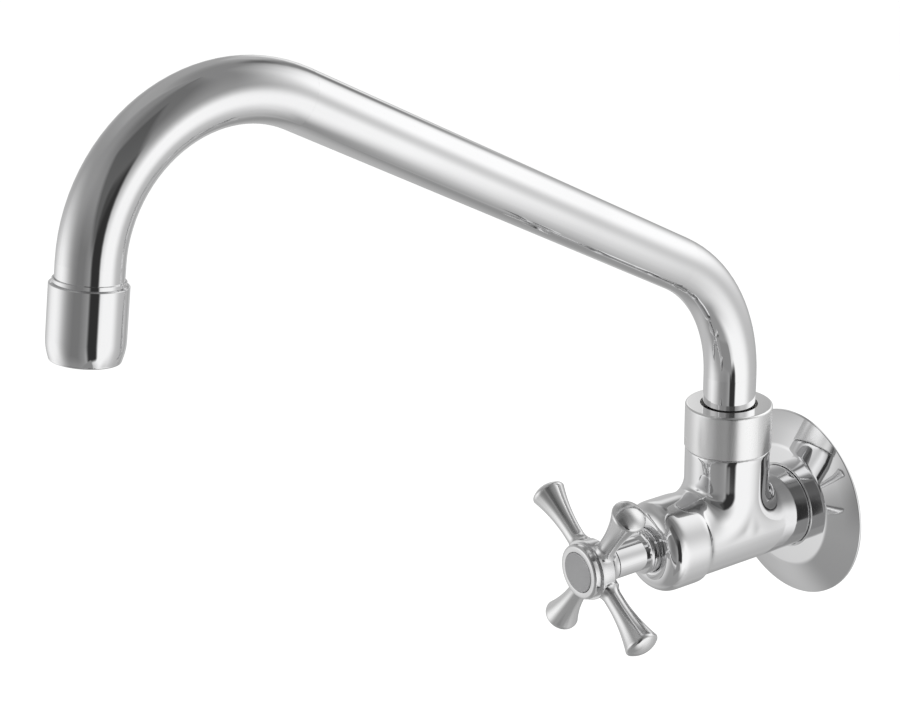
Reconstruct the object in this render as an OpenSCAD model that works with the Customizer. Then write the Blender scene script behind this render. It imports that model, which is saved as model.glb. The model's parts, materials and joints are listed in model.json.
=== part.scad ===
// Commercial wall tap: one screw-down valve, a cross handle and a swinging spout.
// The wall is the plane y = 0, the tap stands out from it towards -y, and +z is up.
// The origin is the middle of the flange's back, on the axis of the inlet.
// Distances along the tap's own axis are measured from the wall, and heights on
// the spout's turning axis from the tap's axis.

/* [Wall flange] */
// Diameter of the wall flange
flange_dia = 72; // [64:0.5:84]
// Height of the flange's rim
flange_rim = 1.6; // [1.4:0.1:2.4]
// Height of the flange's middle above the wall
flange_rise = 4.6; // [3.6:0.1:6]
// Diameter of the flange's flat middle
flange_flat_dia = 47; // [40:0.5:54]
// Thickness of the flange's plate
flange_wall = 1.2; // [0.8:0.1:1.6]
// Width of the chamfer round the flange's front edge
flange_edge = 0.5; // [0.3:0.1:0.6]

/* [Inlet nipple] */
// Outer diameter of the pipe thread, half-inch size
pipe_dia = 21.3; // [20:0.1:22.5]
// Wall of the nipple
nipple_wall = 2.75; // [2.4:0.05:4]
// How far the nipple reaches behind the wall plane
nipple_reach = 18; // [12:0.5:30]
// How far the nipple is screwed into the body
nipple_thread_length = 12.9; // [10:0.1:13.4]
// Length of thread on the nipple that lies inside the flange
nipple_lead = 1; // [0.6:0.1:1.8]
// How much the plain band between the threads is turned down, on the radius
nipple_band = 0.35; // [0.2:0.05:0.8]

/* [Tap body] */
// Step in from the spout nut to the neck and the rear barrel, on the radius
barrel_step = 0.3; // [0.1:0.05:0.6]
// Step out from the rear barrel to the valve chamber, on the radius
chamber_step = 1.4; // [1.2:0.05:2.4]
// Length of the valve chamber at its full size, with its nose
chamber_length = 17; // [15.5:0.1:18.6]
// Length of the shoulder between barrel and chamber
shoulder_len = 1.1; // [0.8:0.1:1.6]
// Length of the body ahead of the spout's turning axis
front_length = 37.8; // [37:0.1:39]
// Radius round the body's nose
nose_round = 6; // [4:0.1:7.6]
// Distance from the wall to the spout's turning axis
neck_setback = 34.5; // [33:0.1:36]
// Height of the neck under the spout nut
neck_height = 31.8; // [28:0.1:36]
// Radius of the blend between neck and valve chamber
front_crotch = 1.6; // [1:0.1:2.2]
// Radius of the blend between neck and rear barrel
rear_crotch = 0.8; // [0.5:0.1:4]
// Wall of the valve chamber
chamber_wall = 5; // [4.4:0.1:6]
// Width of the ledge under the spout's socket
socket_ledge = 2.45; // [2:0.05:4]
// Thickness of the wall that carries the seat
seat_wall = 4.5; // [3.5:0.1:5.5]

/* [Spout joint] */
// Wall of the threaded spigot on the neck
spigot_wall = 3.15; // [2.8:0.05:3.6]
// Height of the threaded spigot
spigot_height = 9.2; // [7:0.1:10]
// Room round the spout's tube in the nut's hole and in the line of the socket
tube_room = 0.925; // [0.7:0.025:1.1]
// Depth of the spout's socket below the spigot's top
socket_depth = 17.5; // [15:0.1:19]
// Wall of the spout nut round its thread
nut_wall = 2.25; // [2:0.05:3]
// Thickness of the spout nut's top
nut_top = 3.85; // [3:0.05:6]
// Radius on the nut's top edge
nut_edge = 0.9; // [0.4:0.1:1.5]
// Step in from the spigot to the spout end's collar, on the radius
collar_step = 1.2; // [0.9:0.05:1.6]
// Height of the spout end's collar
collar_height = 2.5; // [2:0.1:3]
// Thickness of the slip ring on the collar
slip_height = 1; // [0.6:0.1:1.5]
// Wall of the spout end inside the tube, with its fit
spout_end_wall = 1.925; // [1.4:0.025:3]
// Thickness of the seal rings round the spout end
spout_seal = 1.4; // [1.2:0.1:1.6]

/* [Spout] */
// Outer diameter of the spout's tube
tube_dia = 19.05; // [18:0.05:20]
// Wall of the spout's tube
tube_wall = 1; // [0.8:0.1:1.5]
// Height of the upright tube above the spout nut
upright_length = 11.2; // [8:0.1:30]
// Bend radius of the first bend, to the tube's middle
first_radius = 54.5; // [40:0.5:80]
// Angle of the first bend
first_turn = 62; // [50:1:75]
// Straight stretch between the bends
straight_length = 173; // [80:1:260]
// Bend radius of the second bend, to the tube's middle
second_radius = 47.4; // [35:0.1:70]
// Angle of the second bend
second_turn = 109; // [95:1:120]
// Straight stretch after the second bend
end_length = 5.5; // [3:0.1:20]
// How far the spout is swung from straight ahead
spout_swing = 4.5; // [-90:0.5:90]

/* [Outlet] */
// Step out from the tube to the outlet shell, on the radius
shell_step = 1.475; // [1.4:0.025:2.5]
// Length of the outlet shell
shell_length = 21.6; // [20:0.1:26]
// Width of the lip round the shell's mouth
mouth_rim = 2.4; // [2.1:0.05:3.4]
// Step out from the tube to the ring above the shell, on the radius
fitting_lip = 0.575; // [0.5:0.025:0.65]
// Height of the ring above the outlet shell
fitting_ring = 1.2; // [0.8:0.1:2]
// Length of thread inside the outlet shell
fitting_thread = 9; // [7:0.1:10]
// Width of the screen's wires between its holes
screen_wire = 0.5; // [0.4:0.05:1]
// Width of the screen's plain rim
screen_rim = 1.35; // [1.2:0.05:2.5]

/* [Valve seat] */
// Height of the seat's lip above the wall that carries it
seat_rise = 2.95; // [2.8:0.05:3.5]
// Wall of the seat's threaded part
seat_tube_wall = 2.2; // [1.9:0.05:3]
// Outer diameter of the seat's thread
seat_thread_dia = 12.8; // [12:0.1:13.4]
// Width of the seat's shoulder past its thread
seat_ledge = 1.1; // [0.8:0.05:1.5]
// Height of the seat's lip
seat_lip = 0.6; // [0.4:0.1:0.8]
// Thickness of the gasket under the seat
gasket_height = 0.6; // [0.4:0.1:0.8]

/* [Valve carrier] */
// How far the carrier lifts off the seat when the tap is open
valve_lift = 4.5; // [3:0.1:5]
// Wall of the carrier's six-sided part
carrier_wall = 1.8; // [1.6:0.05:2]
// Length of the carrier's six-sided part
carrier_hex_length = 15.5; // [14:0.1:16.5]
// Wall of the carrier's stem round the washer's screw
stem_wall = 2.3; // [1.7:0.05:2.6]
// Wall of the cup that holds the washer
cup_wall = 1; // [0.8:0.05:1.4]
// Height of the cup that holds the washer
cup_height = 4.2; // [3.6:0.1:5]
// Diameter of the valve washer
washer_dia = 11; // [10.6:0.1:11.4]
// Thickness of the valve washer
washer_height = 3.9; // [3.4:0.1:4.4]
// Diameter of the washer screw's shank
washer_screw_dia = 3; // [2.5:0.1:3.5]
// Step out to the washer screw's head, on the radius
screw_head_step = 1.3; // [1:0.05:1.4]

/* [Bonnet] */
// Diameter of the thread that holds the bonnet in the body
bonnet_thread_dia = 16.4; // [16:0.1:16.8]
// Spacing of the bonnet's open thread turns
ridge_pitch = 1; // [0.9:0.05:1.4]
// Number of the bonnet's open thread turns
ridge_count = 4; // [3:1:5]
// Depth of the bonnet's open thread turns
ridge_depth = 0.6; // [0.4:0.05:0.8]
// Step in from the thread to the bonnet's skirt, on the radius
skirt_step = 0.1; // [0.05:0.05:0.4]
// Length of the bonnet inside the body
bonnet_inside = 25; // [24:0.1:26]
// Wall of the bonnet's slim barrel
bonnet_wall = 1.1; // [0.9:0.05:1.3]
// Wall of the sleeve over the bonnet
sleeve_wall = 1.5; // [1:0.05:2]
// Length of the sleeve over the bonnet
sleeve_length = 12.8; // [12:0.1:16]

/* [Spindle] */
// Diameter of the spindle in the bonnet
spindle_dia = 7.8; // [7.4:0.1:8]
// Step in from the spindle to its screw, on the radius
screw_step = 0.7; // [0.5:0.05:0.9]
// Step out to the spindle's thrust collar, on the radius
thrust_step = 0.6; // [0.4:0.05:0.8]
// Thickness of the spindle's thrust collar
thrust_height = 1.6; // [1.2:0.1:2]
// Step in from the spindle to the flats of its square
square_step = 1.2; // [1.15:0.05:1.4]
// Thickness of the seal rings on the spindle
stem_seal = 0.9; // [0.7:0.05:1]

/* [Handle] */
// Length of the handle along the axis, with its cap
hub_length = 14.5; // [14:0.1:17]
// Distance from the handle's rear end to the plane of the arms
arm_offset = 6.9; // [6.2:0.1:7.6]
// Reach of an arm's end from the axis, without its dome
arm_reach = 34.4; // [28:0.1:40]
// Diameter of an arm at its slimmest
arm_root_dia = 6.7; // [5.6:0.1:7.4]
// Diameter of an arm at its end
arm_tip_dia = 12.6; // [10:0.1:13.6]
// Height of the dome on an arm's end
dome_height = 1.7; // [1:0.1:2.5]
// Step out from the sleeve to the hub's rear end, on the radius
hub_rear_step = 0.2; // [0.1:0.05:0.6]
// Step out from the bezel to the hub between the arms, on the radius
hub_step = 0.3; // [0:0.05:0.8]
// Width of the bezel round the index cap
bezel_wall = 2.8; // [2.2:0.05:3.4]
// Length of the bezel along the axis
bezel_length = 3.2; // [2.8:0.1:3.6]
// Diameter of the index cap
cap_dia = 14.6; // [13.6:0.1:15.4]
// Thickness of the index cap
cap_height = 2; // [1.6:0.1:2.2]
// How far the first arm is turned from level
handle_turned = 54.9; // [0:0.1:90]
// Diameter of the handle screw
handle_screw_dia = 4; // [3.5:0.1:4.2]
// Step out to the handle screw's head, on the radius
handle_head_step = 1.6; // [1.2:0.05:1.9]

/* [Hidden] */
$fn = 96;

// Overrun of a cut past the face it goes through
cut = 0.5;
// Radial gap of a turned fit or a running shaft
fit = 0.05;
// Gap between flat faces that bear on each other
face_gap = 0.05;
// Length of the bonnet's thread in the body
bonnet_thread_length = 9;
// Gap between the sleeve and the turning handle
sleeve_gap = 0.2;
// Gap between the spindle clip and its neighbours
clip_gap = 0.1;
// Thickness of the spindle clip
clip_height = 0.7;
// Room left between the clip and the end of the sleeve
clip_margin = 0.3;
// Thickness of the thrust washer
thrust_washer_height = 0.6;
// Depth of the thrust shoulder behind the body's front face
thrust_inset = 0.6;
// Clear depth kept ahead of the lifted carrier
carrier_margin = 1.5;
// Thickness of the cup's floor
cup_web = 2;
// Length of the carrier's six-sided part that stands out of the bonnet
hex_overhang = 1.5;
// Clear depth kept in the carrier's bore under the spindle
screw_margin = 0.3;
// Thickness of the carrier's wall under its screwed bore
carrier_floor = 0.7;
// Width of the groove behind the bezel
groove_width = 0.7;
// Depth of the groove behind the bezel, from the bezel's side
groove_depth = 0.6;
// How far the blend ahead of the neck lies below the chamber's top
crotch_drop = 0.1;
// How far that blend reaches into the chamber
crotch_lap = 1;
// Thickness of the web that the handle screw clamps
screw_web = 1.4;
// Thickness of the lock washer
lock_height = 0.5;
// Height of the handle screw's head
handle_head_height = 2;
// Gap between the spindle's end and the web
web_margin = 0.3;
// Thickness of the outlet gasket
outlet_gasket_height = 1.6;
// Thickness of the outlet's screen
screen_height = 0.4;
// Thickness of the lip round the outlet's mouth
mouth_lip = 1.4;
// Width of a seal's groove as a share of the seal's thickness
groove_share = 1.3;
// Share of the flange's edge at which its chamfer turns
edge_share = 0.3;
// Gap between the flange's hole and the nipple
flange_gap = 0.4;
// Chamfer on the nipple's ends
nipple_chamfer = 0.8;
// Width of the seat's lip
seat_lip_wall = 0.8;
// Height of the washer screw's head
washer_head_height = 1.6;
// Length of the washer screw inside the carrier's stem
washer_screw_depth = 5;
// Width and depth of the slot in a screw's head
screw_slot = 0.8;
// Shares of the pitch at which an open thread turn's crest starts and ends
thread_rise_share = 0.3;
ridge_fall_share = 0.7;
// Gap between the carrier's flats and the bonnet's
hex_gap = 0.1;
// Thickness of the seal ring between bonnet and body
bonnet_seal_dia = 0.9;
// Depth of that seal ring behind the body's front face
bonnet_seal_inset = 1.4;
// Step in from the spindle to the clip's bore, on the radius
clip_step = 0.7;
// Length of the handle screw in the spindle
handle_screw_depth = 7;
// Places of the two seals as shares of the bonnet's barrel
stem_seal_shares = [0.25, 0.6];
// Opening of the spindle clip
clip_opening = 4.4;
// Radius round an arm's outer edge
tip_edge = 0.9;
// Plain stretch of an arm before it starts to flare outwards
arm_plain = 1;
// Distance from the hub's surface at which an arm has run out of the hub
root_length = 2.8;
// Radius of the blend between an arm and the hub
root_round = 4;
// Length of that blend along the arm
root_reach = 3.2;
// Length of the hub's plain collar at its rear end
hub_collar = 1.2;
// Length of the hub's full size behind the groove
band_length = 5;
// Step on which the hub's waist ends, on the radius
band_step = 0.3;
// How far the index cap stands out of the bezel
cap_rise = 0.3;
// Radius on the bezel's front edge
bezel_edge = 1;
// Room round the handle screw's head
head_gap = 0.6;
// Split of the lock washer
lock_split = 0.6;
// Depth of the socket in the handle screw's head
screw_socket_depth = 1.2;
// Radius on the index cap's edge
cap_edge = 0.3;
// Thickness of the index cap's skirt
cap_wall = 1.2;
// Thickness of the index cap's plate
cap_web = 0.9;
// Chamfer on the nut's lower edge
nut_chamfer = 0.4;
// Gap between the slip ring and the tube
slip_gap = 0.2;
// Gap under the spout end in its socket
end_gap = 0.5;
// Length of the spout end inside the tube
spout_end_length = 11;
// Places of the spout's seals as shares of the socket's depth
spout_seal_shares = [0.3, 0.65];
// How much slimmer the tube is in its bends, on the radius
bend_thinning = 0.01;
// How far a straight stretch of tube reaches into a bend
bend_lap = 0.2;
// Step from the fitting's ring to its thread, on the radius
fitting_step = 0.3;
// Depth to which the fitting's ring sinks into the shell
fitting_sink = 0.6;
// Wall of the fitting's spigot inside the tube
fitting_wall = 0.7;
// Share of the shell's length that is straight
taper_share = 0.7;
// How far the shell is drawn in at its mouth, on the radius
shell_taper = 1;
// Radius on the shell's upper edge
shell_edge = 0.3;
// Radius on the edge of the shell's mouth
mouth_edge = 0.6;
// Width of the shell's upper edge
shell_rim = 0.4;
// Step in from the tube's bore to the outlet gasket's, on the radius
gasket_step = 1.525;
// Thickness of the insert's jet plate
jet_plate = 2;
// Wall of the insert's cup
insert_wall = 1.1;
// Number of jets in the insert
jet_count = 12;
// Diameter of a jet
jet_dia = 1.3;
// Step in from the tube's bore to the circle of the jets, on the radius
jet_inset = 3.525;
// Rings of holes round the middle hole of the screen
screen_rows = 3;

// Diameters that follow from the tube
tube_bore = tube_dia - 2 * tube_wall;
socket_bore = tube_dia + 2 * tube_room;
nut_hole = tube_dia + 2 * tube_room;
spigot_dia = socket_bore + 2 * spigot_wall;
collar_dia = spigot_dia - 2 * collar_step;
nut_dia = spigot_dia + 2 * fit + 2 * nut_wall;
barrel_dia = nut_dia - 2 * barrel_step;
chamber_dia = barrel_dia + 2 * chamber_step;
chamber_bore = chamber_dia - 2 * chamber_wall;
waterway_dia = socket_bore - 2 * socket_ledge;
spout_end_bore = tube_bore - 2 * spout_end_wall;
shell_dia = tube_dia + 2 * shell_step;
fitting_dia = tube_dia + 2 * fitting_lip;
mouth_dia = shell_dia - 2 * mouth_rim;
outlet_gasket_bore = tube_bore - 2 * gasket_step;
jet_circle = tube_bore - 2 * jet_inset;

// Diameters that follow from the nipple, the seat and the washer
pipe_bore = pipe_dia - 2 * nipple_wall;
seat_bore = seat_thread_dia - 2 * seat_tube_wall;
seat_shoulder_dia = seat_thread_dia + 2 * seat_ledge;
cup_dia = washer_dia + 2 * cup_wall;
washer_screw_head = washer_screw_dia + 2 * screw_head_step;
carrier_stem_dia = washer_screw_dia + 2 * stem_wall;

// Diameters that follow from the spindle
screw_dia = spindle_dia - 2 * screw_step;
carrier_flats = screw_dia + 2 * carrier_wall;
thrust_dia = spindle_dia + 2 * thrust_step;
square_width = spindle_dia - 2 * square_step;
clip_bore = spindle_dia - 2 * clip_step;
bonnet_barrel_dia = spindle_dia + 2 * bonnet_wall;
sleeve_dia = bonnet_barrel_dia + 2 * sleeve_wall;
skirt_dia = bonnet_thread_dia - 2 * skirt_step;
hub_rear_dia = sleeve_dia + 2 * hub_rear_step;
bezel_dia = cap_dia + 2 * bezel_wall;
hub_front_dia = bezel_dia + 2 * hub_step;
handle_screw_head = handle_screw_dia + 2 * handle_head_step;

// Places along the tap's axis, from the wall
barrel_r = barrel_dia / 2;
chamber_r = chamber_dia / 2;
body_front = neck_setback + front_length;
chamber_start = body_front - chamber_length;
nose_r = chamber_r - nose_round;
inlet_depth = flange_rise + nipple_thread_length + face_gap;
seat_wall_front = inlet_depth + seat_wall;
seat_face = seat_wall_front + seat_rise;
roof_start = body_front - bonnet_thread_length;
roof_cone = (chamber_bore - bonnet_thread_dia) / 2;

// Places of the carrier and its washer with the tap shut
washer_start = seat_face + face_gap;
cup_floor = washer_start + washer_height + face_gap;
cup_end = cup_floor + cup_web;
cup_start = cup_end - cup_height;
bonnet_tail = body_front - bonnet_inside;
hex_start = bonnet_tail - hex_overhang;
carrier_front = hex_start + carrier_hex_length;
screw_start = hex_start + carrier_floor + valve_lift + screw_margin;

// Places of the bonnet and the spindle
hex_bore_end = carrier_front + valve_lift + carrier_margin;
thrust_shoulder = body_front - thrust_inset;
thrust_top = thrust_shoulder - thrust_washer_height - 2 * face_gap;
thrust_bottom = thrust_top - thrust_height;
ridge_end = body_front + ridge_pitch * ridge_count;
sleeve_end = ridge_end + sleeve_length;
hub_rear = sleeve_end + sleeve_gap;
bonnet_end = sleeve_end - clip_height - 2 * clip_gap - clip_margin;
clip_start = bonnet_end + clip_gap;
stem_seal_places = [for (share = stem_seal_shares) ridge_end + share * (bonnet_end - ridge_end)];

// Places on the neck, above the tap's axis
spigot_top = neck_height + spigot_height;
socket_floor = spigot_top - socket_depth;
collar_start = spigot_top + face_gap;
collar_end = collar_start + collar_height;
slip_start = collar_end + face_gap;
nut_ceiling = slip_start + slip_height + face_gap;
nut_height = nut_ceiling + nut_top - neck_height;
upright_top = nut_ceiling + nut_top + upright_length;
tube_start = collar_end + face_gap;
spout_seal_places = [for (share = spout_seal_shares) socket_floor + share * socket_depth];

// Places on the handle, from the wall and from its axis
arm_plane = hub_rear + arm_offset;
cap_face = hub_rear + hub_length;
cap_start = cap_face - cap_height;
root_end = hub_front_dia / 2 + root_length;
flare_start = root_end + arm_plain;
bezel_start = cap_face - cap_rise - bezel_length;
groove_start = bezel_start - groove_width;
web_front = cap_start - face_gap - handle_head_height - lock_height;
web_rear = web_front - screw_web;
spindle_front = web_rear - web_margin;
handle_thread_start = spindle_front - handle_screw_depth;

// Places in the outlet, along the flow from the end of the tube
sink_end = fitting_sink + face_gap;
shell_mouth_dia = shell_dia - 2 * shell_rim;
shell_bore = fitting_dia - 2 * fitting_step + 2 * fit;
insert_dia = shell_bore - 4 * fit;
gasket_start = fitting_thread + face_gap;
insert_start = gasket_start + outlet_gasket_height + face_gap;
lip_start = shell_length - mouth_lip;
screen_start = lip_start - face_gap - screen_height;
insert_end = screen_start - face_gap;
screen_pitch = (insert_dia - 2 * screen_rim) / (2 * screen_rows + 1);
screen_cell = screen_pitch - screen_wire;

// Places its children on the tap's axis, with their z pointing out from the wall
module from_wall(distance = 0) {
    translate([0, -distance, 0]) rotate([90, 0, 0]) children();
}

// Places its children on the spout's turning axis
module on_neck(height = 0) {
    translate([0, -neck_setback, height]) children();
}

// Turns its children with the spout: their x points the way the spout does
module with_spout() {
    on_neck() rotate([0, 0, spout_swing - 90]) children();
}

// Goes on from the far end of a bend that starts at the origin towards +z
module past_bend(radius, turn) {
    translate([radius * (1 - cos(turn)), 0, radius * sin(turn)]) rotate([0, turn, 0]) children();
}

// Places its children at the end of the spout's tube, with their z along the flow
module at_outlet() {
    with_spout() translate([0, 0, upright_top]) past_bend(first_radius, first_turn)
        translate([0, 0, straight_length]) past_bend(second_radius, second_turn)
            translate([0, 0, end_length]) children();
}

// A plain ring or sleeve that stands on the origin
module ring(outer_dia, bore_dia, height) {
    difference() {
        cylinder(d = outer_dia, h = height);
        translate([0, 0, -cut]) cylinder(d = bore_dia, h = height + 2 * cut);
    }
}

// A bore that starts at a place and has a length, with no overrun
module bore(start, length, dia) {
    translate([0, 0, start]) cylinder(d = dia, h = length);
}

// A round seal ring: its outer diameter, its thickness and its place
module seal_ring(outer_dia, thickness, place) {
    translate([0, 0, place]) rotate_extrude() translate([(outer_dia - thickness) / 2, 0])
        circle(d = thickness);
}

// A groove for such a seal ring, cut into a shaft of the same diameter
module seal_groove(shaft_dia, thickness, place) {
    translate([0, 0, place - groove_share * thickness / 2])
        ring(shaft_dia + 2 * cut, shaft_dia - 2 * (thickness + fit), groove_share * thickness);
}

// Half outline of a turned disc whose upper edge is rounded
module rounded_disc(radius, height, edge) {
    square([radius - edge, height]);
    square([radius, height - edge]);
    translate([radius - edge, height - edge]) circle(edge);
}

// Plate of one thickness, dished between its flat middle and its rim
module wall_flange() color("silver") {
    rim_r = flange_dia / 2;
    flat_r = flange_flat_dia / 2;
    hole_r = pipe_dia / 2 + flange_gap;
    nick = flange_edge * edge_share;
    from_wall() rotate_extrude() polygon([[hole_r, flange_rise - flange_wall], [hole_r, flange_rise],
        [flat_r, flange_rise], [rim_r - flange_edge, flange_rim], [rim_r - nick, flange_rim - nick],
        [rim_r, flange_rim - flange_edge], [rim_r, 0], [rim_r - flange_wall, 0],
        [rim_r - flange_wall, flange_rim - flange_wall], [flat_r, flange_rise - flange_wall]]);
}

// Elbow that rounds the crotch between the neck and the body on one side
module crotch(radius, lift) {
    bend = barrel_r + radius;
    translate([0, -bend, lift + bend]) rotate([-90, 0, 90])
        rotate_extrude(angle = 90) translate([bend, 0]) circle(barrel_r);
}

// Outside of the cast body: barrel, shoulder, chamber with its nose, neck and spigot
module body_outside() {
    nose_start = body_front - nose_round;
    crotch_lift = chamber_step - crotch_drop;
    stub_start = neck_setback + barrel_r + front_crotch;
    from_wall() rotate_extrude() {
        polygon([[0, flange_rise], [barrel_r, flange_rise], [barrel_r, chamber_start - shoulder_len],
            [chamber_r, chamber_start], [chamber_r, nose_start], [nose_r, nose_start],
            [nose_r, body_front], [0, body_front]]);
        translate([nose_r, nose_start]) circle(nose_round);
    }
    on_neck() cylinder(r = barrel_r, h = neck_height);
    on_neck() cylinder(d = spigot_dia, h = spigot_top);
    on_neck() crotch(front_crotch, crotch_lift);
    from_wall(stub_start) translate([0, crotch_lift, 0])
        cylinder(r = barrel_r, h = chamber_start + crotch_lap - stub_start);
    on_neck() rotate([0, 0, 180]) crotch(rear_crotch, 0);
}

// Everything cut along the tap's axis: inlet socket, seat thread, chamber, bonnet thread
module body_bores() {
    socket_r = pipe_dia / 2 + fit;
    seat_r = seat_thread_dia / 2 + fit;
    chamber_bore_r = chamber_bore / 2;
    thread_r = bonnet_thread_dia / 2 + fit;
    from_wall() rotate_extrude() polygon([[0, flange_rise - cut], [socket_r, flange_rise - cut],
        [socket_r, inlet_depth], [seat_r, inlet_depth], [seat_r, seat_wall_front],
        [chamber_bore_r, seat_wall_front], [chamber_bore_r, roof_start - roof_cone],
        [thread_r, roof_start], [thread_r, body_front + cut], [0, body_front + cut]]);
}

// Cast tee with the inlet, the seat's wall, the valve chamber and the spout's socket
module tap_body() color("lightgray") difference() {
    body_outside();
    body_bores();
    on_neck() cylinder(d = waterway_dia, h = socket_floor + cut);
    on_neck(socket_floor) cylinder(d = socket_bore, h = socket_depth + cut);
}

// Close nipple: a thread for the body and a thread for the pipe in the wall
module inlet_nipple() color("peru") {
    pipe_r = pipe_dia / 2;
    band_r = pipe_r - nipple_band;
    bore_r = pipe_bore / 2;
    band_end = flange_rise + nipple_band;
    top = flange_rise + nipple_thread_length;
    from_wall() rotate_extrude() polygon([[bore_r, -nipple_reach], [pipe_r - nipple_chamfer, -nipple_reach],
        [pipe_r, nipple_chamfer - nipple_reach], [pipe_r, nipple_lead], [band_r, nipple_lead + nipple_band],
        [band_r, band_end], [pipe_r, band_end + nipple_band], [pipe_r, top - nipple_chamfer],
        [pipe_r - nipple_chamfer, top], [bore_r, top]]);
}

// Flat ring under the seat's shoulder
module seat_gasket() color("brown") {
    from_wall(seat_wall_front) ring(seat_shoulder_dia, seat_thread_dia + 2 * fit, gasket_height);
}

// Renewable seat with a raised lip, screwed into the body's inner wall
module valve_seat() color("goldenrod") {
    shoulder_start = seat_wall_front + gasket_height;
    lip_start = seat_face - seat_lip;
    lip_dia = seat_bore + 2 * seat_lip_wall;
    from_wall() difference() {
        union() {
            bore(inlet_depth, shoulder_start - inlet_depth, seat_thread_dia);
            bore(shoulder_start, lip_start - shoulder_start, seat_shoulder_dia);
            bore(lip_start, seat_lip, lip_dia);
        }
        bore(inlet_depth - cut, seat_face - inlet_depth + 2 * cut, seat_bore);
    }
}

// Rubber washer that shuts on the seat's lip
module valve_washer() color("dimgray") {
    from_wall(washer_start) ring(washer_dia, washer_screw_dia + 2 * fit, washer_height);
}

// Screw that holds the washer in the carrier's cup
module washer_screw() color("gold") {
    shank_length = face_gap + washer_height + cup_web + washer_screw_depth;
    from_wall(washer_start - face_gap - washer_head_height) difference() {
        union() {
            cylinder(d = washer_screw_head, h = washer_head_height);
            bore(washer_head_height, shank_length, washer_screw_dia);
        }
        translate([-washer_screw_head, -screw_slot / 2, -cut])
            cube([2 * washer_screw_head, screw_slot, screw_slot + cut]);
    }
}

// Carrier that slides without turning: six-sided guide, stem and washer cup
module valve_carrier() color("khaki") {
    hex_across = (carrier_flats / 2) / cos(30);
    from_wall() difference() {
        union() {
            translate([0, 0, hex_start]) cylinder(r = hex_across, h = carrier_hex_length, $fn = 6);
            bore(cup_end - cut, hex_start - cup_end + 2 * cut, carrier_stem_dia);
            bore(cup_start, cup_height, cup_dia);
        }
        bore(cup_start - cut, cup_floor - cup_start + cut, washer_dia + 2 * fit);
        bore(cup_floor - cut, cup_web + washer_screw_depth + 2 * cut, washer_screw_dia + 2 * fit);
        bore(hex_start + carrier_floor, carrier_hex_length, screw_dia + 2 * fit);
    }
}

// Half outline of the bonnet's outside, with its open thread turns
module bonnet_outline() {
    skirt_r = skirt_dia / 2;
    thread_r = bonnet_thread_dia / 2;
    translate([0, bonnet_tail]) square([skirt_r, body_front - bonnet_tail]);
    translate([0, roof_start]) square([thread_r, bonnet_thread_length]);
    for (turn = [0 : ridge_count - 1])
        translate([0, body_front + turn * ridge_pitch]) polygon([[0, 0], [thread_r - ridge_depth, 0],
            [thread_r, ridge_pitch * thread_rise_share], [thread_r, ridge_pitch * ridge_fall_share],
            [thread_r - ridge_depth, ridge_pitch], [0, ridge_pitch]]);
}

// Headwork: skirt with a six-sided bore, thread, open turns and a slim barrel
module bonnet() color("silver") {
    hex_across = (carrier_flats / 2 + hex_gap) / cos(30);
    groove_place = body_front - bonnet_seal_inset;
    from_wall() difference() {
        union() {
            rotate_extrude() bonnet_outline();
            bore(ridge_end - cut, bonnet_end - ridge_end + cut, bonnet_barrel_dia);
        }
        translate([0, 0, bonnet_tail - cut])
            cylinder(r = hex_across, h = hex_bore_end - bonnet_tail + cut, $fn = 6);
        bore(hex_bore_end - cut, thrust_shoulder - hex_bore_end + cut, thrust_dia + 2 * fit);
        bore(thrust_shoulder - cut, bonnet_end - thrust_shoulder + 2 * cut, spindle_dia + 2 * fit);
        seal_groove(bonnet_thread_dia, bonnet_seal_dia, groove_place);
    }
}

// Seal ring between bonnet and body
module bonnet_seal() color("black") {
    from_wall(body_front - bonnet_seal_inset) seal_ring(bonnet_thread_dia, bonnet_seal_dia, 0);
}

// Smooth sleeve over the bonnet's barrel
module bonnet_sleeve() color("gainsboro") {
    from_wall(ridge_end) ring(sleeve_dia, bonnet_barrel_dia + 2 * fit, sleeve_end - ridge_end);
}

// Slippery washer between the spindle's collar and the bonnet
module thrust_washer() color("white") {
    from_wall(thrust_top + face_gap) ring(thrust_dia, spindle_dia + 2 * fit, thrust_washer_height);
}

// Spindle: screw, thrust collar, two seal grooves, clip groove and driving square
module spindle() color("goldenrod") from_wall() difference() {
    square_across = square_width / 2 / cos(45);
    union() {
        bore(screw_start, thrust_bottom - screw_start + cut, screw_dia);
        bore(thrust_bottom, thrust_height, thrust_dia);
        bore(thrust_top - cut, hub_rear - thrust_top + cut, spindle_dia);
        translate([0, 0, hub_rear - cut]) rotate([0, 0, handle_turned + 45])
            cylinder(r = square_across, h = spindle_front - hub_rear + cut, $fn = 4);
    }
    for (place = stem_seal_places)
        seal_groove(spindle_dia, stem_seal, place);
    translate([0, 0, clip_start - clip_gap])
        ring(spindle_dia + 2 * cut, clip_bore, clip_height + 2 * clip_gap);
    bore(handle_thread_start, handle_screw_depth + cut, handle_screw_dia + 2 * fit);
}
// Two seal rings between spindle and bonnet
module stem_seals() color("black") from_wall() {
    for (place = stem_seal_places)
        seal_ring(spindle_dia, stem_seal, place);
}

// Open clip that keeps the spindle in the bonnet
module spindle_clip() color("darkgray") from_wall(clip_start) difference() {
    ring(bonnet_barrel_dia - 2 * fit, clip_bore + 2 * fit, clip_height);
    translate([0, -clip_opening / 2, -cut]) cube([bonnet_barrel_dia, clip_opening, clip_height + 2 * cut]);
}

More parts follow.
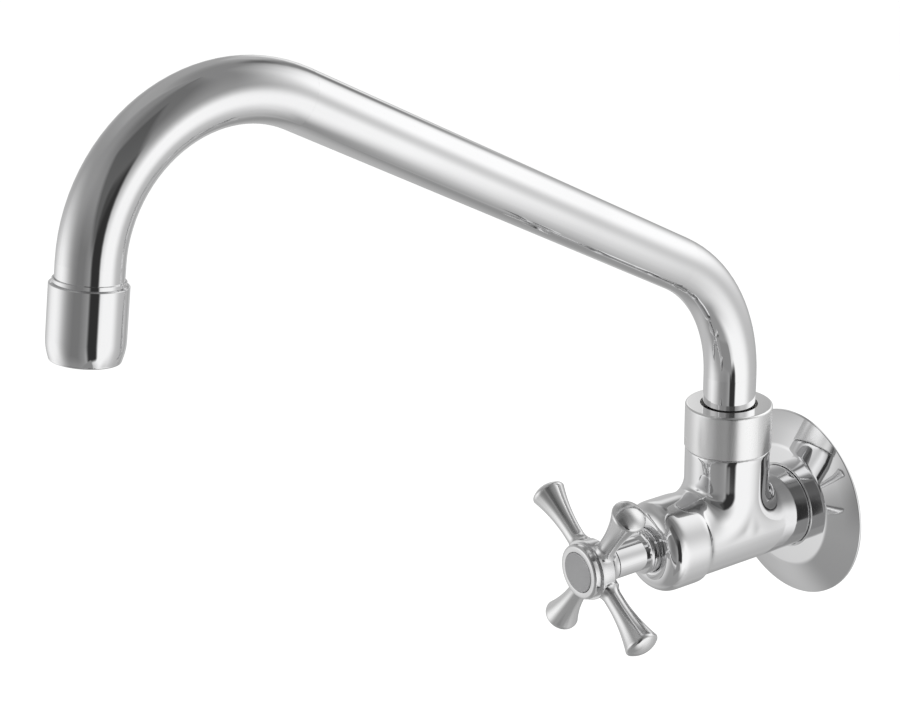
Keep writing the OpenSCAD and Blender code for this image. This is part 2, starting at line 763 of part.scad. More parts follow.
// Half outline of an arm: it flares into the hub and, slowly, to its domed end
module arm_outline() {
    root_r = arm_root_dia / 2;
    tip_r = arm_tip_dia / 2;
    flare_length = arm_reach - flare_start;
    flare_depth = tip_r - root_r;
    flare_round = (pow(flare_length, 2) + pow(flare_depth, 2)) / (2 * flare_depth);
    dome_round = (pow(tip_r - tip_edge, 2) + pow(dome_height, 2)) / (2 * dome_height);
    difference() {
        union() {
            translate([0, root_end - root_reach]) square([tip_r, arm_reach - tip_edge - root_end + root_reach]);
            square([tip_r - tip_edge, arm_reach]);
            translate([tip_r - tip_edge, arm_reach - tip_edge]) circle(tip_edge);
        }
        translate([root_r + flare_round, flare_start]) circle(flare_round, $fn = 120);
        translate([root_r, root_end]) square([tip_r, flare_start - root_end]);
        translate([root_r + root_round, root_end]) circle(root_round);
        square([tip_r, root_end - root_reach]);
    }
    square([root_r, root_end]);
    intersection() {
        translate([0, arm_reach + dome_height - dome_round]) circle(dome_round);
        translate([0, arm_reach - tip_edge]) square([tip_r - tip_edge, tip_edge + dome_height]);
    }
}

// Half outline of the hub: a waist that widens to a band, a groove and the bezel
module hub_outline() {
    rear_r = hub_rear_dia / 2;
    waist_r = hub_front_dia / 2 - band_step;
    waist_start = hub_rear + hub_collar;
    waist_length = groove_start - band_length - waist_start;
    waist_depth = waist_r - rear_r;
    waist_round = (pow(waist_length, 2) + pow(waist_depth, 2)) / (2 * waist_depth);
    difference() {
        translate([0, hub_rear]) square([waist_r, groove_start - hub_rear]);
        translate([rear_r + waist_round, waist_start]) circle(waist_round, $fn = 100);
        translate([rear_r, hub_rear - cut]) square([waist_r, hub_collar + cut]);
    }
    translate([0, groove_start - band_length]) square([hub_front_dia / 2, band_length]);
    translate([0, groove_start - cut]) square([hub_front_dia / 2, groove_width + 2 * cut]);
    translate([0, bezel_start]) rounded_disc(bezel_dia / 2, bezel_length, bezel_edge);
}

// Cross handle: the hub with four trumpet-shaped arms, cast in one
module handle() color("silver") from_wall() difference() {
    square_across = (square_width / 2 + fit) / cos(45);
    union() {
        rotate_extrude($fn = 60) hub_outline($fn = 32);
        for (quarter = [0 : 3])
            translate([0, 0, arm_plane]) rotate([0, 0, handle_turned + 90 * quarter]) rotate([0, 90, 0])
                rotate_extrude($fn = 36) arm_outline($fn = 24);
    }
    translate([0, 0, groove_start]) ring(hub_front_dia + 2 * cut, bezel_dia - 2 * groove_depth, groove_width);
    translate([0, 0, hub_rear - cut]) rotate([0, 0, handle_turned + 45])
        cylinder(r = square_across, h = web_rear - hub_rear + cut, $fn = 4);
    bore(web_rear - cut, screw_web + 2 * cut, handle_screw_dia + 2 * fit);
    bore(web_front, cap_start - web_front + cut, handle_screw_head + 2 * head_gap);
    bore(cap_start - face_gap, bezel_start + bezel_length - cap_start + cut, cap_dia + 2 * fit);
}

// Split spring washer under the handle screw's head
module handle_lock_washer() color("darkgray") from_wall(web_front) difference() {
    ring(handle_screw_head, handle_screw_dia + 2 * fit, lock_height);
    translate([0, -lock_split / 2, -cut]) cube([handle_screw_head, lock_split, lock_height + 2 * cut]);
}

// Screw that clamps the handle to the spindle, with a six-sided socket
module handle_screw() color("darkgray") from_wall() difference() {
    head_start = web_front + lock_height;
    union() {
        bore(head_start, handle_head_height, handle_screw_head);
        bore(handle_thread_start + screw_margin, head_start - handle_thread_start, handle_screw_dia);
    }
    translate([0, 0, cap_start - screw_socket_depth - face_gap])
        cylinder(d = handle_screw_dia, h = screw_socket_depth + cut, $fn = 6);
}

// Plain index cap, snapped into the bezel
module index_cap() color("slategray") from_wall(cap_start) difference() {
    rotate_extrude() rounded_disc(cap_dia / 2, cap_height, cap_edge);
    translate([0, 0, -cut]) cylinder(d = cap_dia - 2 * cap_wall, h = cap_height - cap_web + cut);
}

// Round nut that holds the spout's collar on the neck
module spout_nut() color("silver") on_neck(neck_height) difference() {
    rotate_extrude() difference() {
        rounded_disc(nut_dia / 2, nut_height, nut_edge);
        polygon([[nut_dia / 2 - nut_chamfer, -cut], [nut_dia / 2 + cut, -cut], [nut_dia / 2 + cut, nut_chamfer],
            [nut_dia / 2, nut_chamfer], [nut_dia / 2 - nut_chamfer, 0]]);
    }
    translate([0, 0, -cut]) cylinder(d = spigot_dia + 2 * fit, h = nut_ceiling - neck_height + cut);
    cylinder(d = nut_hole, h = nut_height + cut);
}

// Slip ring on which the spout's collar turns under the nut
module slip_ring() color("ivory") {
    on_neck(slip_start) ring(collar_dia, tube_dia + 2 * slip_gap, slip_height);
}

// Turned end of the spout: seal grooves, collar, and a spigot brazed into the tube
module spout_end() color("goldenrod") with_spout() difference() {
    end_dia = socket_bore - 2 * fit;
    end_start = socket_floor + end_gap;
    union() {
        bore(end_start, collar_start - end_start + cut, end_dia);
        bore(collar_start, collar_height, collar_dia);
        bore(collar_end - cut, spout_end_length + cut, tube_bore - 2 * fit);
    }
    bore(end_start - cut, collar_end + spout_end_length - end_start + 2 * cut, spout_end_bore);
    for (place = spout_seal_places)
        seal_groove(end_dia, spout_seal, place);
}
// Two seal rings between the spout end and the neck
module spout_seals() color("black") with_spout() {
    for (place = spout_seal_places)
        seal_ring(socket_bore - 2 * fit, spout_seal, place);
}

// One bend that starts at the origin towards +z and curves towards +x
module bend(radius, turn, dia) {
    translate([radius, 0, 0]) rotate([90, 0, 180]) rotate_extrude(angle = turn, $fn = 60)
        translate([radius, 0]) circle(d = dia - 2 * bend_thinning, $fn = 60);
}

// One straight stretch that starts at the origin and reaches a little into its bends
module stretch(length, dia, before, after) {
    translate([0, 0, -before]) cylinder(d = dia, h = before + length + after, $fn = 60);
}

// The whole route of the tube as a bar, run on past both ends
module tube_route(dia, past_end) {
    translate([0, 0, tube_start]) stretch(upright_top - tube_start, dia, past_end, bend_lap);
    translate([0, 0, upright_top]) {
        bend(first_radius, first_turn, dia);
        past_bend(first_radius, first_turn) {
            stretch(straight_length, dia, bend_lap, bend_lap);
            translate([0, 0, straight_length]) {
                bend(second_radius, second_turn, dia);
                past_bend(second_radius, second_turn) stretch(end_length, dia, bend_lap, past_end);
            }
        }
    }
}

// Spout tube, bent from one length of tube
module spout_tube() color("silver") with_spout() difference() {
    tube_route(tube_dia, 0);
    tube_route(tube_bore, cut);
}

// Threaded fitting brazed to the tube's end: ring, thread and a short spigot
module outlet_fitting() color("silver") at_outlet() difference() {
    union() {
        bore(-fitting_ring, fitting_ring + fitting_sink, fitting_dia);
        bore(0, fitting_thread, fitting_dia - 2 * fitting_step);
    }
    difference() {
        bore(-fitting_ring - cut, fitting_ring + cut + face_gap, tube_dia + 2 * fit);
        bore(-fitting_ring - 2 * cut, fitting_ring + 3 * cut, tube_bore - 2 * fit);
    }
    bore(-fitting_ring - cut, fitting_ring + fitting_thread + 2 * cut, tube_bore - 2 * fitting_wall);
}

// Half outline of the outlet shell: straight, then drawn in towards its mouth
module shell_outline() {
    shell_r = shell_dia / 2;
    taper_start = shell_length * taper_share;
    taper_length = shell_length - mouth_edge - taper_start;
    taper_round = (pow(taper_length, 2) + pow(shell_taper, 2)) / (2 * shell_taper);
    square([shell_r - shell_edge, taper_start]);
    translate([0, shell_edge]) square([shell_r, taper_start - shell_edge]);
    translate([shell_r - shell_edge, shell_edge]) circle(shell_edge);
    intersection() {
        translate([0, taper_start]) square([shell_r, taper_length]);
        translate([shell_r - taper_round, taper_start]) circle(taper_round, $fn = 240);
    }
    translate([shell_r - shell_taper - mouth_edge, shell_length - mouth_edge]) circle(mouth_edge);
    translate([0, shell_length - mouth_edge - cut])
        square([shell_r - shell_taper - mouth_edge, mouth_edge + cut]);
}

// Outlet shell, screwed on the fitting
module outlet_shell() color("silver") at_outlet() difference() {
    rotate_extrude() shell_outline();
    bore(sink_end - cut, lip_start - sink_end + cut, shell_bore);
    bore(-cut, sink_end + cut, fitting_dia + 2 * fit);
    translate([0, 0, -cut]) cylinder(d1 = shell_mouth_dia + 2 * cut, d2 = fitting_dia, h = sink_end + cut);
    bore(lip_start - cut, mouth_lip + 2 * cut, mouth_dia);
}

// Rubber ring between the fitting and the insert
module outlet_gasket() color("black") {
    at_outlet() translate([0, 0, gasket_start]) ring(insert_dia, outlet_gasket_bore, outlet_gasket_height);
}
// Outer diameter of what lies loose in the shell

// Plastic flow insert: a jet plate on a cup
module outlet_insert() color("whitesmoke") at_outlet() difference() {
    bore(insert_start, insert_end - insert_start, insert_dia);
    bore(insert_start + jet_plate, insert_end - insert_start - jet_plate + cut, insert_dia - 2 * insert_wall);
    for (jet = [0 : jet_count - 1])
        rotate([0, 0, jet * 360 / jet_count]) translate([jet_circle / 2, 0, insert_start - cut])
            cylinder(d = jet_dia, h = jet_plate + 2 * cut);
}

// Honeycomb screen across the outlet's mouth
module outlet_screen() color("lightsteelblue") at_outlet() translate([0, 0, screen_start]) difference() {
    cylinder(d = insert_dia, h = screen_height);
    for (row = [-screen_rows : screen_rows])
        for (column = [-screen_rows : screen_rows])
            if (abs(row + column) <= screen_rows)
                translate([(column + row / 2) * screen_pitch, row * screen_pitch * sin(60), -cut])
                    rotate([0, 0, 30]) cylinder(d = screen_cell / cos(30), h = screen_height + 2 * cut, $fn = 6);
}

wall_flange();
tap_body();
inlet_nipple();
seat_gasket();
valve_seat();
valve_washer();
washer_screw();
valve_carrier();
bonnet();
bonnet_seal();
bonnet_sleeve();
thrust_washer();
spindle();
stem_seals();
spindle_clip();
handle();
handle_lock_washer();
handle_screw();
index_cap();
spout_nut();
slip_ring();
spout_end();
spout_seals();
spout_tube();
outlet_fitting();
outlet_shell();
outlet_gasket();
outlet_insert();
outlet_screen();
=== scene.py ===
"""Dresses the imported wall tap: finishes for every piece, a pale studio and the camera."""

import json
import logging
import math
from dataclasses import dataclass, field
from enum import Enum

import bpy
from mathutils import Matrix, Vector

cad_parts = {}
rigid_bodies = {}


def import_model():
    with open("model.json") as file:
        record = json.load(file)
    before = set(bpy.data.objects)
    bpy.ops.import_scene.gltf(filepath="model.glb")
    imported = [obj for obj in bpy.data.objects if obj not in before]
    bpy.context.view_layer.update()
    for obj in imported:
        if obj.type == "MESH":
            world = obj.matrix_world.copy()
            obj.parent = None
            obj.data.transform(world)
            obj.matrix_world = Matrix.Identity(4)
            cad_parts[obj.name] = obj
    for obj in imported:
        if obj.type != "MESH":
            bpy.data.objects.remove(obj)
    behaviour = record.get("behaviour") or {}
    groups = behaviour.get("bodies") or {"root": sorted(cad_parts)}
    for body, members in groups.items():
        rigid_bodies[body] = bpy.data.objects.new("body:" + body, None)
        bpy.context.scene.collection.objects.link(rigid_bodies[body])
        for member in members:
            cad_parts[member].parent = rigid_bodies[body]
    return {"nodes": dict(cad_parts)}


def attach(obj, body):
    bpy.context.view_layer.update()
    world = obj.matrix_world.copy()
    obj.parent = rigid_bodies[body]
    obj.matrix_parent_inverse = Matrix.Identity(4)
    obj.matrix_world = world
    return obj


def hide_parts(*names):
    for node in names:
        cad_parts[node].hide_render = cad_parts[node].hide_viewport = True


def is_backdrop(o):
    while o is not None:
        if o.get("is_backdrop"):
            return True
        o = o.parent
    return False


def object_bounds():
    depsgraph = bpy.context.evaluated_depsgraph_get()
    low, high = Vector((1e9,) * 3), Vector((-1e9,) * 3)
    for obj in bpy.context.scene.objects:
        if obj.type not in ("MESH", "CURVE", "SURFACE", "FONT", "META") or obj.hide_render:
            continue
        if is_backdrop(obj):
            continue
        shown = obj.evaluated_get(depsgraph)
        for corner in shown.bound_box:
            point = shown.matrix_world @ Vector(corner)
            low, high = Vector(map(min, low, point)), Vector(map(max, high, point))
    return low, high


logging.basicConfig(level=logging.INFO, format="%(message)s")
log = logging.getLogger("wall_tap")


class Kind(Enum):
    """Kinds of socket that a node group takes in or puts out."""

    VALUE = "NodeSocketFloat"
    VECTOR = "NodeSocketVector"


# Shader effects that several finishes share


@dataclass(frozen=True)
class Socket:
    """One socket of a node group."""

    name: str
    kind: Kind = Kind.VALUE
    value: float = 0.0


def new_group(name: str, inputs: list[Socket], outputs: list[Socket]) -> tuple:
    """Starts a shader node group with named sockets.

    Args:
        name: Name of the group.
        inputs: Sockets that take values in.
        outputs: Sockets that put values out.

    Returns:
        The group, its input node and its output node.
    """
    group = bpy.data.node_groups.new(name, "ShaderNodeTree")
    for socket in inputs:
        made = group.interface.new_socket(socket.name, in_out="INPUT", socket_type=socket.kind.value)
        if socket.kind is Kind.VALUE:
            made.default_value = socket.value
    for socket in outputs:
        group.interface.new_socket(socket.name, in_out="OUTPUT", socket_type=socket.kind.value)
    return group, group.nodes.new("NodeGroupInput"), group.nodes.new("NodeGroupOutput")


def noise(tree: bpy.types.NodeTree, vector: bpy.types.NodeSocket, scale: float, detail: float) -> bpy.types.NodeSocket:
    """Adds a noise texture.

    Args:
        tree: Tree that takes the node.
        vector: Where the noise is read.
        scale: Noise cells per metre.
        detail: Octaves of the noise.

    Returns:
        The noise value.
    """
    node = tree.nodes.new("ShaderNodeTexNoise")
    node.inputs["Scale"].default_value = scale
    node.inputs["Detail"].default_value = detail
    tree.links.new(vector, node.inputs["Vector"])
    return node.outputs["Fac"]


def ranged(tree: bpy.types.NodeTree, value: bpy.types.NodeSocket, source: tuple[float, float],
           target: tuple[float, float], curve: str = "LINEAR") -> bpy.types.NodeSocket:
    """Maps a value from one range to another and clamps it.

    Args:
        tree: Tree that takes the node.
        value: Value to map.
        source: Range of the value.
        target: Range of the result.
        curve: Name of the map's curve.

    Returns:
        The mapped value.
    """
    node = tree.nodes.new("ShaderNodeMapRange")
    node.interpolation_type = curve
    for name, number in zip(("From Min", "From Max", "To Min", "To Max"), source + target):
        node.inputs[name].default_value = number
    tree.links.new(value, node.inputs["Value"])
    return node.outputs["Result"]


def math_node(tree: bpy.types.NodeTree, operation: str, first: bpy.types.NodeSocket,
              second: bpy.types.NodeSocket | float) -> bpy.types.NodeSocket:
    """Adds a sum, product or other sum of two values.

    Args:
        tree: Tree that takes the node.
        operation: Name of the operation.
        first: First value.
        second: Second value, a socket or a number.

    Returns:
        The result.
    """
    node = tree.nodes.new("ShaderNodeMath")
    node.operation = operation
    tree.links.new(first, node.inputs[0])
    if isinstance(second, (int, float)):
        node.inputs[1].default_value = second
    else:
        tree.links.new(second, node.inputs[1])
    return node.outputs[0]


def vector_node(tree: bpy.types.NodeTree, operation: str, *sources: bpy.types.NodeSocket | tuple) -> bpy.types.NodeSocket:
    """Adds a sum, difference or other change of vectors.

    Args:
        tree: Tree that takes the node.
        operation: Name of the operation.
        sources: Its inputs in order, sockets or plain vectors.

    Returns:
        The resulting vector.
    """
    node = tree.nodes.new("ShaderNodeVectorMath")
    node.operation = operation
    for place, value in zip(node.inputs, sources):
        if isinstance(value, tuple):
            place.default_value = value
        else:
            tree.links.new(value, place)
    return node.outputs["Vector"]


def handling_marks() -> bpy.types.NodeTree:
    """Makes the group for smudges and hairline scratches on plated metal.

    Returns:
        A group from Vector, Smudge and Scratch to Haze and Height.
    """
    group, source, sink = new_group(
        "Handling marks",
        [Socket("Vector", Kind.VECTOR), Socket("Smudge", value=0.05), Socket("Scratch", value=0.1)],
        [Socket("Haze"), Socket("Height")])
    place = source.outputs["Vector"]
    clouds = ranged(group, noise(group, place, 38.0, 3.0), (0.42, 0.72), (0.0, 1.0))
    specks = ranged(group, noise(group, place, 900.0, 2.0), (0.55, 0.8), (0.0, 0.6))
    smudge = math_node(group, "MAXIMUM", clouds, specks)
    group.links.new(math_node(group, "MULTIPLY", smudge, source.outputs["Smudge"]), sink.inputs["Haze"])
    stretch = group.nodes.new("ShaderNodeMapping")
    stretch.inputs["Scale"].default_value = (60.0, 900.0, 2400.0)
    stretch.inputs["Rotation"].default_value = (0.3, 0.5, 0.2)
    group.links.new(place, stretch.inputs["Vector"])
    lines = ranged(group, noise(group, stretch.outputs["Vector"], 1.0, 4.0), (0.6, 0.75), (0.0, 1.0))
    ripple = noise(group, place, 130.0, 1.0)
    height = math_node(group, "ADD", math_node(group, "MULTIPLY", lines, -0.15), ripple)
    group.links.new(math_node(group, "MULTIPLY", height, source.outputs["Scratch"]), sink.inputs["Height"])
    return group


def turning_marks() -> bpy.types.NodeTree:
    """Makes the group for the fine rings that a lathe leaves.

    Returns:
        A group from Vector and Pitch to Rings, a height that changes along Y.
    """
    group, source, sink = new_group(
        "Turning marks", [Socket("Vector", Kind.VECTOR), Socket("Pitch", value=4000.0)], [Socket("Rings")])
    split = group.nodes.new("ShaderNodeSeparateXYZ")
    group.links.new(source.outputs["Vector"], split.inputs[0])
    wobble = noise(group, source.outputs["Vector"], 300.0, 2.0)
    along = math_node(group, "ADD", split.outputs["Y"], math_node(group, "MULTIPLY", wobble, 0.0002))
    wave = math_node(group, "SINE", math_node(group, "MULTIPLY", along, source.outputs["Pitch"]), 0.0)
    group.links.new(wave, sink.inputs["Rings"])
    return group


def moulded_grain() -> bpy.types.NodeTree:
    """Makes the group for the fine grain of moulded rubber and plastic.

    Returns:
        A group from Vector and Scale to Grain.
    """
    group, source, sink = new_group(
        "Moulded grain", [Socket("Vector", Kind.VECTOR), Socket("Scale", value=2500.0)], [Socket("Grain")])
    texture = group.nodes.new("ShaderNodeTexNoise")
    texture.inputs["Detail"].default_value = 3.0
    group.links.new(source.outputs["Vector"], texture.inputs["Vector"])
    group.links.new(source.outputs["Scale"], texture.inputs["Scale"])
    group.links.new(texture.outputs["Fac"], sink.inputs["Grain"])
    return group


class Effects:
    """The node groups, each built once."""

    def __init__(self) -> None:
        """Builds the groups."""
        self.marks = handling_marks()
        self.rings = turning_marks()
        self.grain = moulded_grain()


class Bench:
    """A material under construction: its tree, its shader and where it reads its place."""

    def __init__(self, name: str, effects: Effects) -> None:
        """Starts a material.

        Args:
            name: Name of the material.
            effects: The shared node groups.
        """
        self.effects = effects
        self.material = bpy.data.materials.new(name)
        self.material.use_nodes = True
        self.tree = self.material.node_tree
        self.shader = self.tree.nodes["Principled BSDF"]
        self.place = self.tree.nodes.new("ShaderNodeTexCoord").outputs["Object"]

    def group(self, tree: bpy.types.NodeTree, **values: float) -> bpy.types.Node:
        """Places a node group and sets its values.

        Args:
            tree: The group to place.
            values: Values of its inputs, by name.

        Returns:
            The group's node.
        """
        node = self.tree.nodes.new("ShaderNodeGroup")
        node.node_tree = tree
        self.tree.links.new(self.place, node.inputs["Vector"])
        for name, value in values.items():
            node.inputs[name].default_value = value
        return node

    def roughness(self, base: float, haze: bpy.types.NodeSocket) -> None:
        """Sets the roughness to a base value and what a mask adds."""
        self.tree.links.new(math_node(self.tree, "ADD", haze, base), self.shader.inputs["Roughness"])

    def bump(self, height: bpy.types.NodeSocket, strength: float, distance: float) -> None:
        """Raises the surface by a height, in metres at full strength."""
        node = self.tree.nodes.new("ShaderNodeBump")
        node.inputs["Strength"].default_value = strength
        node.inputs["Distance"].default_value = distance
        self.tree.links.new(height, node.inputs["Height"])
        self.tree.links.new(node.outputs["Normal"], self.shader.inputs["Normal"])

    def colour(self, mask: bpy.types.NodeSocket, first: tuple, second: tuple) -> None:
        """Mixes two colours by a mask."""
        node = self.tree.nodes.new("ShaderNodeMix")
        node.data_type = "RGBA"
        node.inputs["A"].default_value = (*first, 1.0)
        node.inputs["B"].default_value = (*second, 1.0)
        self.tree.links.new(mask, node.inputs["Factor"])
        self.tree.links.new(node.outputs["Result"], self.shader.inputs["Base Color"])


@dataclass(frozen=True)
class PlatedFinish:
    """Chrome plate, polished or satin, with faint smudges and hairlines."""

    name: str
    tint: tuple[float, float, float]
    shade: tuple[float, float, float]
    roughness: float
    smudge: float
    scratch: float

    def material(self, effects: Effects) -> bpy.types.Material:
        """Builds the plate's material.

        Args:
            effects: The shared node groups.

        Returns:
            The material.
        """
        bench = Bench(self.name, effects)
        marks = bench.group(effects.marks, Smudge=self.smudge, Scratch=self.scratch)
        bench.shader.inputs["Metallic"].default_value = 1.0
        patch = ranged(bench.tree, noise(bench.tree, bench.place, 22.0, 2.0), (0.35, 0.65), (0.0, 1.0))
        bench.colour(patch, self.tint, self.shade)
        bench.roughness(self.roughness, marks.outputs["Haze"])
        bench.bump(marks.outputs["Height"], 0.5, 0.00002)
        return bench.material


@dataclass(frozen=True)
class SatinNutFinish:
    """Chrome plate, brushed round the side and polished on the flat top, whose colour is painted a touch lighter than
    the side's as painted light.
    """

    name: str
    tint: tuple[float, float, float]
    shade: tuple[float, float, float]
    side_roughness: float
    top_roughness: float
    top_height: float

    def material(self, effects: Effects) -> bpy.types.Material:
        """Builds the nut's material.

        Args:
            effects: The shared node groups.

        Returns:
            The material.
        """
        bench = Bench(self.name, effects)
        marks = bench.group(effects.marks, Smudge=0.03, Scratch=0.1)
        bench.shader.inputs["Metallic"].default_value = 1.0
        split = bench.tree.nodes.new("ShaderNodeSeparateXYZ")
        bench.tree.links.new(bench.place, split.inputs[0])
        top = ranged(bench.tree, split.outputs["Z"], (self.top_height - 0.0004, self.top_height - 0.0001), (0.0, 1.0))
        # Painted light: the flat top takes the lighter colour (shade) and the side the darker one (tint).
        bench.colour(top, self.tint, self.shade)
        base = ranged(bench.tree, top, (0.0, 1.0), (self.side_roughness, self.top_roughness))
        bench.tree.links.new(math_node(bench.tree, "ADD", base, marks.outputs["Haze"]),
                             bench.shader.inputs["Roughness"])
        brush = bench.tree.nodes.new("ShaderNodeMapping")
        brush.inputs["Scale"].default_value = (120.0, 120.0, 9000.0)
        bench.tree.links.new(bench.place, brush.inputs["Vector"])
        lines = noise(bench.tree, brush.outputs["Vector"], 1.0, 3.0)
        side = ranged(bench.tree, top, (0.0, 1.0), (1.0, 0.0))
        bench.bump(math_node(bench.tree, "MULTIPLY", lines, side), 0.35, 0.00001)
        return bench.material


@dataclass(frozen=True)
class TurnedFinish:
    """Bare metal from the lathe, such as brass or steel."""

    name: str
    tint: tuple[float, float, float]
    shade: tuple[float, float, float]
    roughness: float
    pitch: float
    depth: float

    def material(self, effects: Effects) -> bpy.types.Material:
        """Builds the turned metal's material.

        Args:
            effects: The shared node groups.

        Returns:
            The material.
        """
        bench = Bench(self.name, effects)
        marks = bench.group(effects.marks, Smudge=0.12, Scratch=0.2)
        rings = bench.group(effects.rings, Pitch=self.pitch)
        bench.shader.inputs["Metallic"].default_value = 1.0
        tarnish = ranged(bench.tree, noise(bench.tree, bench.place, 160.0, 5.0), (0.35, 0.7), (0.0, 1.0))
        bench.colour(tarnish, self.tint, self.shade)
        bench.roughness(self.roughness, marks.outputs["Haze"])
        bench.bump(rings.outputs["Rings"], 0.6, self.depth)
        return bench.material


@dataclass(frozen=True)
class MouldedFinish:
    """Rubber, plastic or pressed fibre with a fine grain."""

    name: str
    tint: tuple[float, float, float]
    shade: tuple[float, float, float]
    roughness: float
    grain: float
    depth: float

    def material(self, effects: Effects) -> bpy.types.Material:
        """Builds the moulded material.

        Args:
            effects: The shared node groups.

        Returns:
            The material.
        """
        bench = Bench(self.name, effects)
        grain = bench.group(effects.grain, Scale=self.grain)
        marks = bench.group(effects.marks, Smudge=0.08, Scratch=0.2)
        cloud = ranged(bench.tree, noise(bench.tree, bench.place, 90.0, 4.0), (0.3, 0.7), (0.0, 1.0))
        bench.colour(cloud, self.tint, self.shade)
        bench.roughness(self.roughness, marks.outputs["Haze"])
        bench.bump(grain.outputs["Grain"], 0.4, self.depth)
        return bench.material


POLISHED = PlatedFinish("Polished chrome", (0.90, 0.90, 0.905), (0.87, 0.87, 0.875), 0.035, 0.03, 0.12)
SATIN = PlatedFinish("Satin chrome", (0.88, 0.88, 0.88), (0.83, 0.83, 0.835), 0.13, 0.06, 0.2)
# The nut's top colour is painted lighter than its side's: painted light on the top.
NUT_PLATE = SatinNutFinish("Nut plate", (0.93, 0.93, 0.93), (0.95, 0.95, 0.95), 0.27, 0.05, 0.0485)
BRASS = TurnedFinish("Turned brass", (0.80, 0.60, 0.30), (0.62, 0.43, 0.20), 0.24, 9000.0, 0.00001)
STEEL = TurnedFinish("Spring steel", (0.60, 0.61, 0.62), (0.48, 0.49, 0.50), 0.28, 12000.0, 0.000008)
RUBBER = MouldedFinish("Seal rubber", (0.035, 0.035, 0.037), (0.06, 0.06, 0.062), 0.55, 3500.0, 0.00002)
WHITE_PLASTIC = MouldedFinish("White plastic", (0.83, 0.83, 0.80), (0.76, 0.76, 0.73), 0.42, 2500.0, 0.00001)
CAP_PLASTIC = MouldedFinish("Cap plastic", (0.335, 0.335, 0.34), (0.37, 0.37, 0.375), 0.32, 6000.0, 0.000006)
FIBRE = MouldedFinish("Pressed fibre", (0.42, 0.17, 0.10), (0.30, 0.11, 0.06), 0.75, 1400.0, 0.00004)

Finish = PlatedFinish | SatinNutFinish | TurnedFinish | MouldedFinish


class Wardrobe:
    """Makes each finish once and puts it on pieces."""

    def __init__(self, nodes: dict[str, bpy.types.Object]) -> None:
        """Keeps the frame's nodes and builds the shared effects.

        Args:
            nodes: The frame's nodes, by name.
        """
        self.nodes = nodes
        self.effects = Effects()
        self.made: dict[str, bpy.types.Material] = {}

    def material(self, finish: Finish) -> bpy.types.Material:
        """Returns the material of a finish, made on its first use."""
        if finish.name not in self.made:
            self.made[finish.name] = finish.material(self.effects)
        return self.made[finish.name]

    def take_in(self, piece: bpy.types.Object) -> None:
        """Adds a new piece to those that can be dressed by name."""
        self.nodes[piece.name] = piece

    def dress(self, finishes: dict[str, Finish]) -> None:
        """Puts a finish on each named piece.

        Args:
            finishes: Finish of each piece, by the piece's name.
        """
        for name, finish in finishes.items():
            mesh = self.nodes[name].data
            mesh.materials.clear()
            mesh.materials.append(self.material(finish))
            log.info("%s: %s", name, finish.name)


Outline = list[tuple[float, float]]

MILLIMETRE = 0.001
MERGE_DISTANCE = 0.000001
SMOOTH_BELOW = math.radians(32.0)
OUT_FROM_WALL = Matrix.Rotation(math.radians(90.0), 4, "X")


def arc(centre: tuple[float, float], radius: float, start: float, end: float, steps: int) -> Outline:
    """Returns points on an arc of an outline.

    Args:
        centre: Distance from the axis and height of the arc's centre, in millimetres.
        radius: Radius in millimetres.
        start: Angle of the first point in degrees, from straight outwards towards greater heights.
        end: Angle of the last point.
        steps: Number of spans between the points.

    Returns:
        The points, as distances from the axis and heights.
    """
    angles = [math.radians(start + (end - start) * step / steps) for step in range(steps + 1)]
    return [(centre[0] + radius * math.cos(angle), centre[1] + radius * math.sin(angle)) for angle in angles]


def turned(name: str, outline: Outline, segments: int) -> bpy.types.Object:
    """Turns an outline about Z, as on a lathe, from a circle extruded from point to point.

    Args:
        name: Name of the piece.
        outline: Distances from the axis and heights, in millimetres. A ring ends where it starts.
        segments: Number of segments round the axis.

    Returns:
        The closed piece, in metres.
    """
    bpy.ops.object.select_all(action="DESELECT")
    bpy.ops.mesh.primitive_circle_add(vertices=segments, radius=outline[0][0])
    piece = bpy.context.object
    piece.name = name
    piece.data.transform(Matrix.Translation((0.0, 0.0, outline[0][1])))
    bpy.ops.object.mode_set(mode="EDIT")
    bpy.ops.mesh.select_all(action="SELECT")
    for (near, low), (far, high) in zip(outline, outline[1:]):
        bpy.ops.mesh.extrude_edges_move(TRANSFORM_OT_translate={"value": (0.0, 0.0, high - low)})
        growth = far / near
        bpy.ops.transform.resize(value=(growth, growth, 1.0), center_override=(0.0, 0.0, high))
    bpy.ops.mesh.select_all(action="SELECT")
    bpy.ops.mesh.remove_doubles(threshold=MERGE_DISTANCE)
    bpy.ops.mesh.normals_make_consistent(inside=False)
    bpy.ops.object.mode_set(mode="OBJECT")
    piece.data.transform(Matrix.Scale(MILLIMETRE, 4))
    return piece


def combined(piece: bpy.types.Object, tool: bpy.types.Object, operation: str) -> None:
    """Joins a tool to a piece or cuts it out, and removes the tool.

    Args:
        piece: Piece that is changed.
        tool: Solid that is added or cut out.
        operation: UNION or DIFFERENCE.
    """
    modifier = piece.modifiers.new("Work", "BOOLEAN")
    modifier.operation = operation
    modifier.solver = "EXACT"
    modifier.object = tool
    bpy.ops.object.select_all(action="DESELECT")
    bpy.context.view_layer.objects.active = piece
    piece.select_set(True)
    bpy.ops.object.modifier_apply(modifier=modifier.name)
    bpy.data.objects.remove(tool)


def finished(piece: bpy.types.Object) -> None:
    """Smooths a piece's shading across its soft edges."""
    bpy.ops.object.select_all(action="DESELECT")
    bpy.context.view_layer.objects.active = piece
    piece.select_set(True)
    bpy.ops.object.shade_smooth_by_angle(angle=SMOOTH_BELOW)


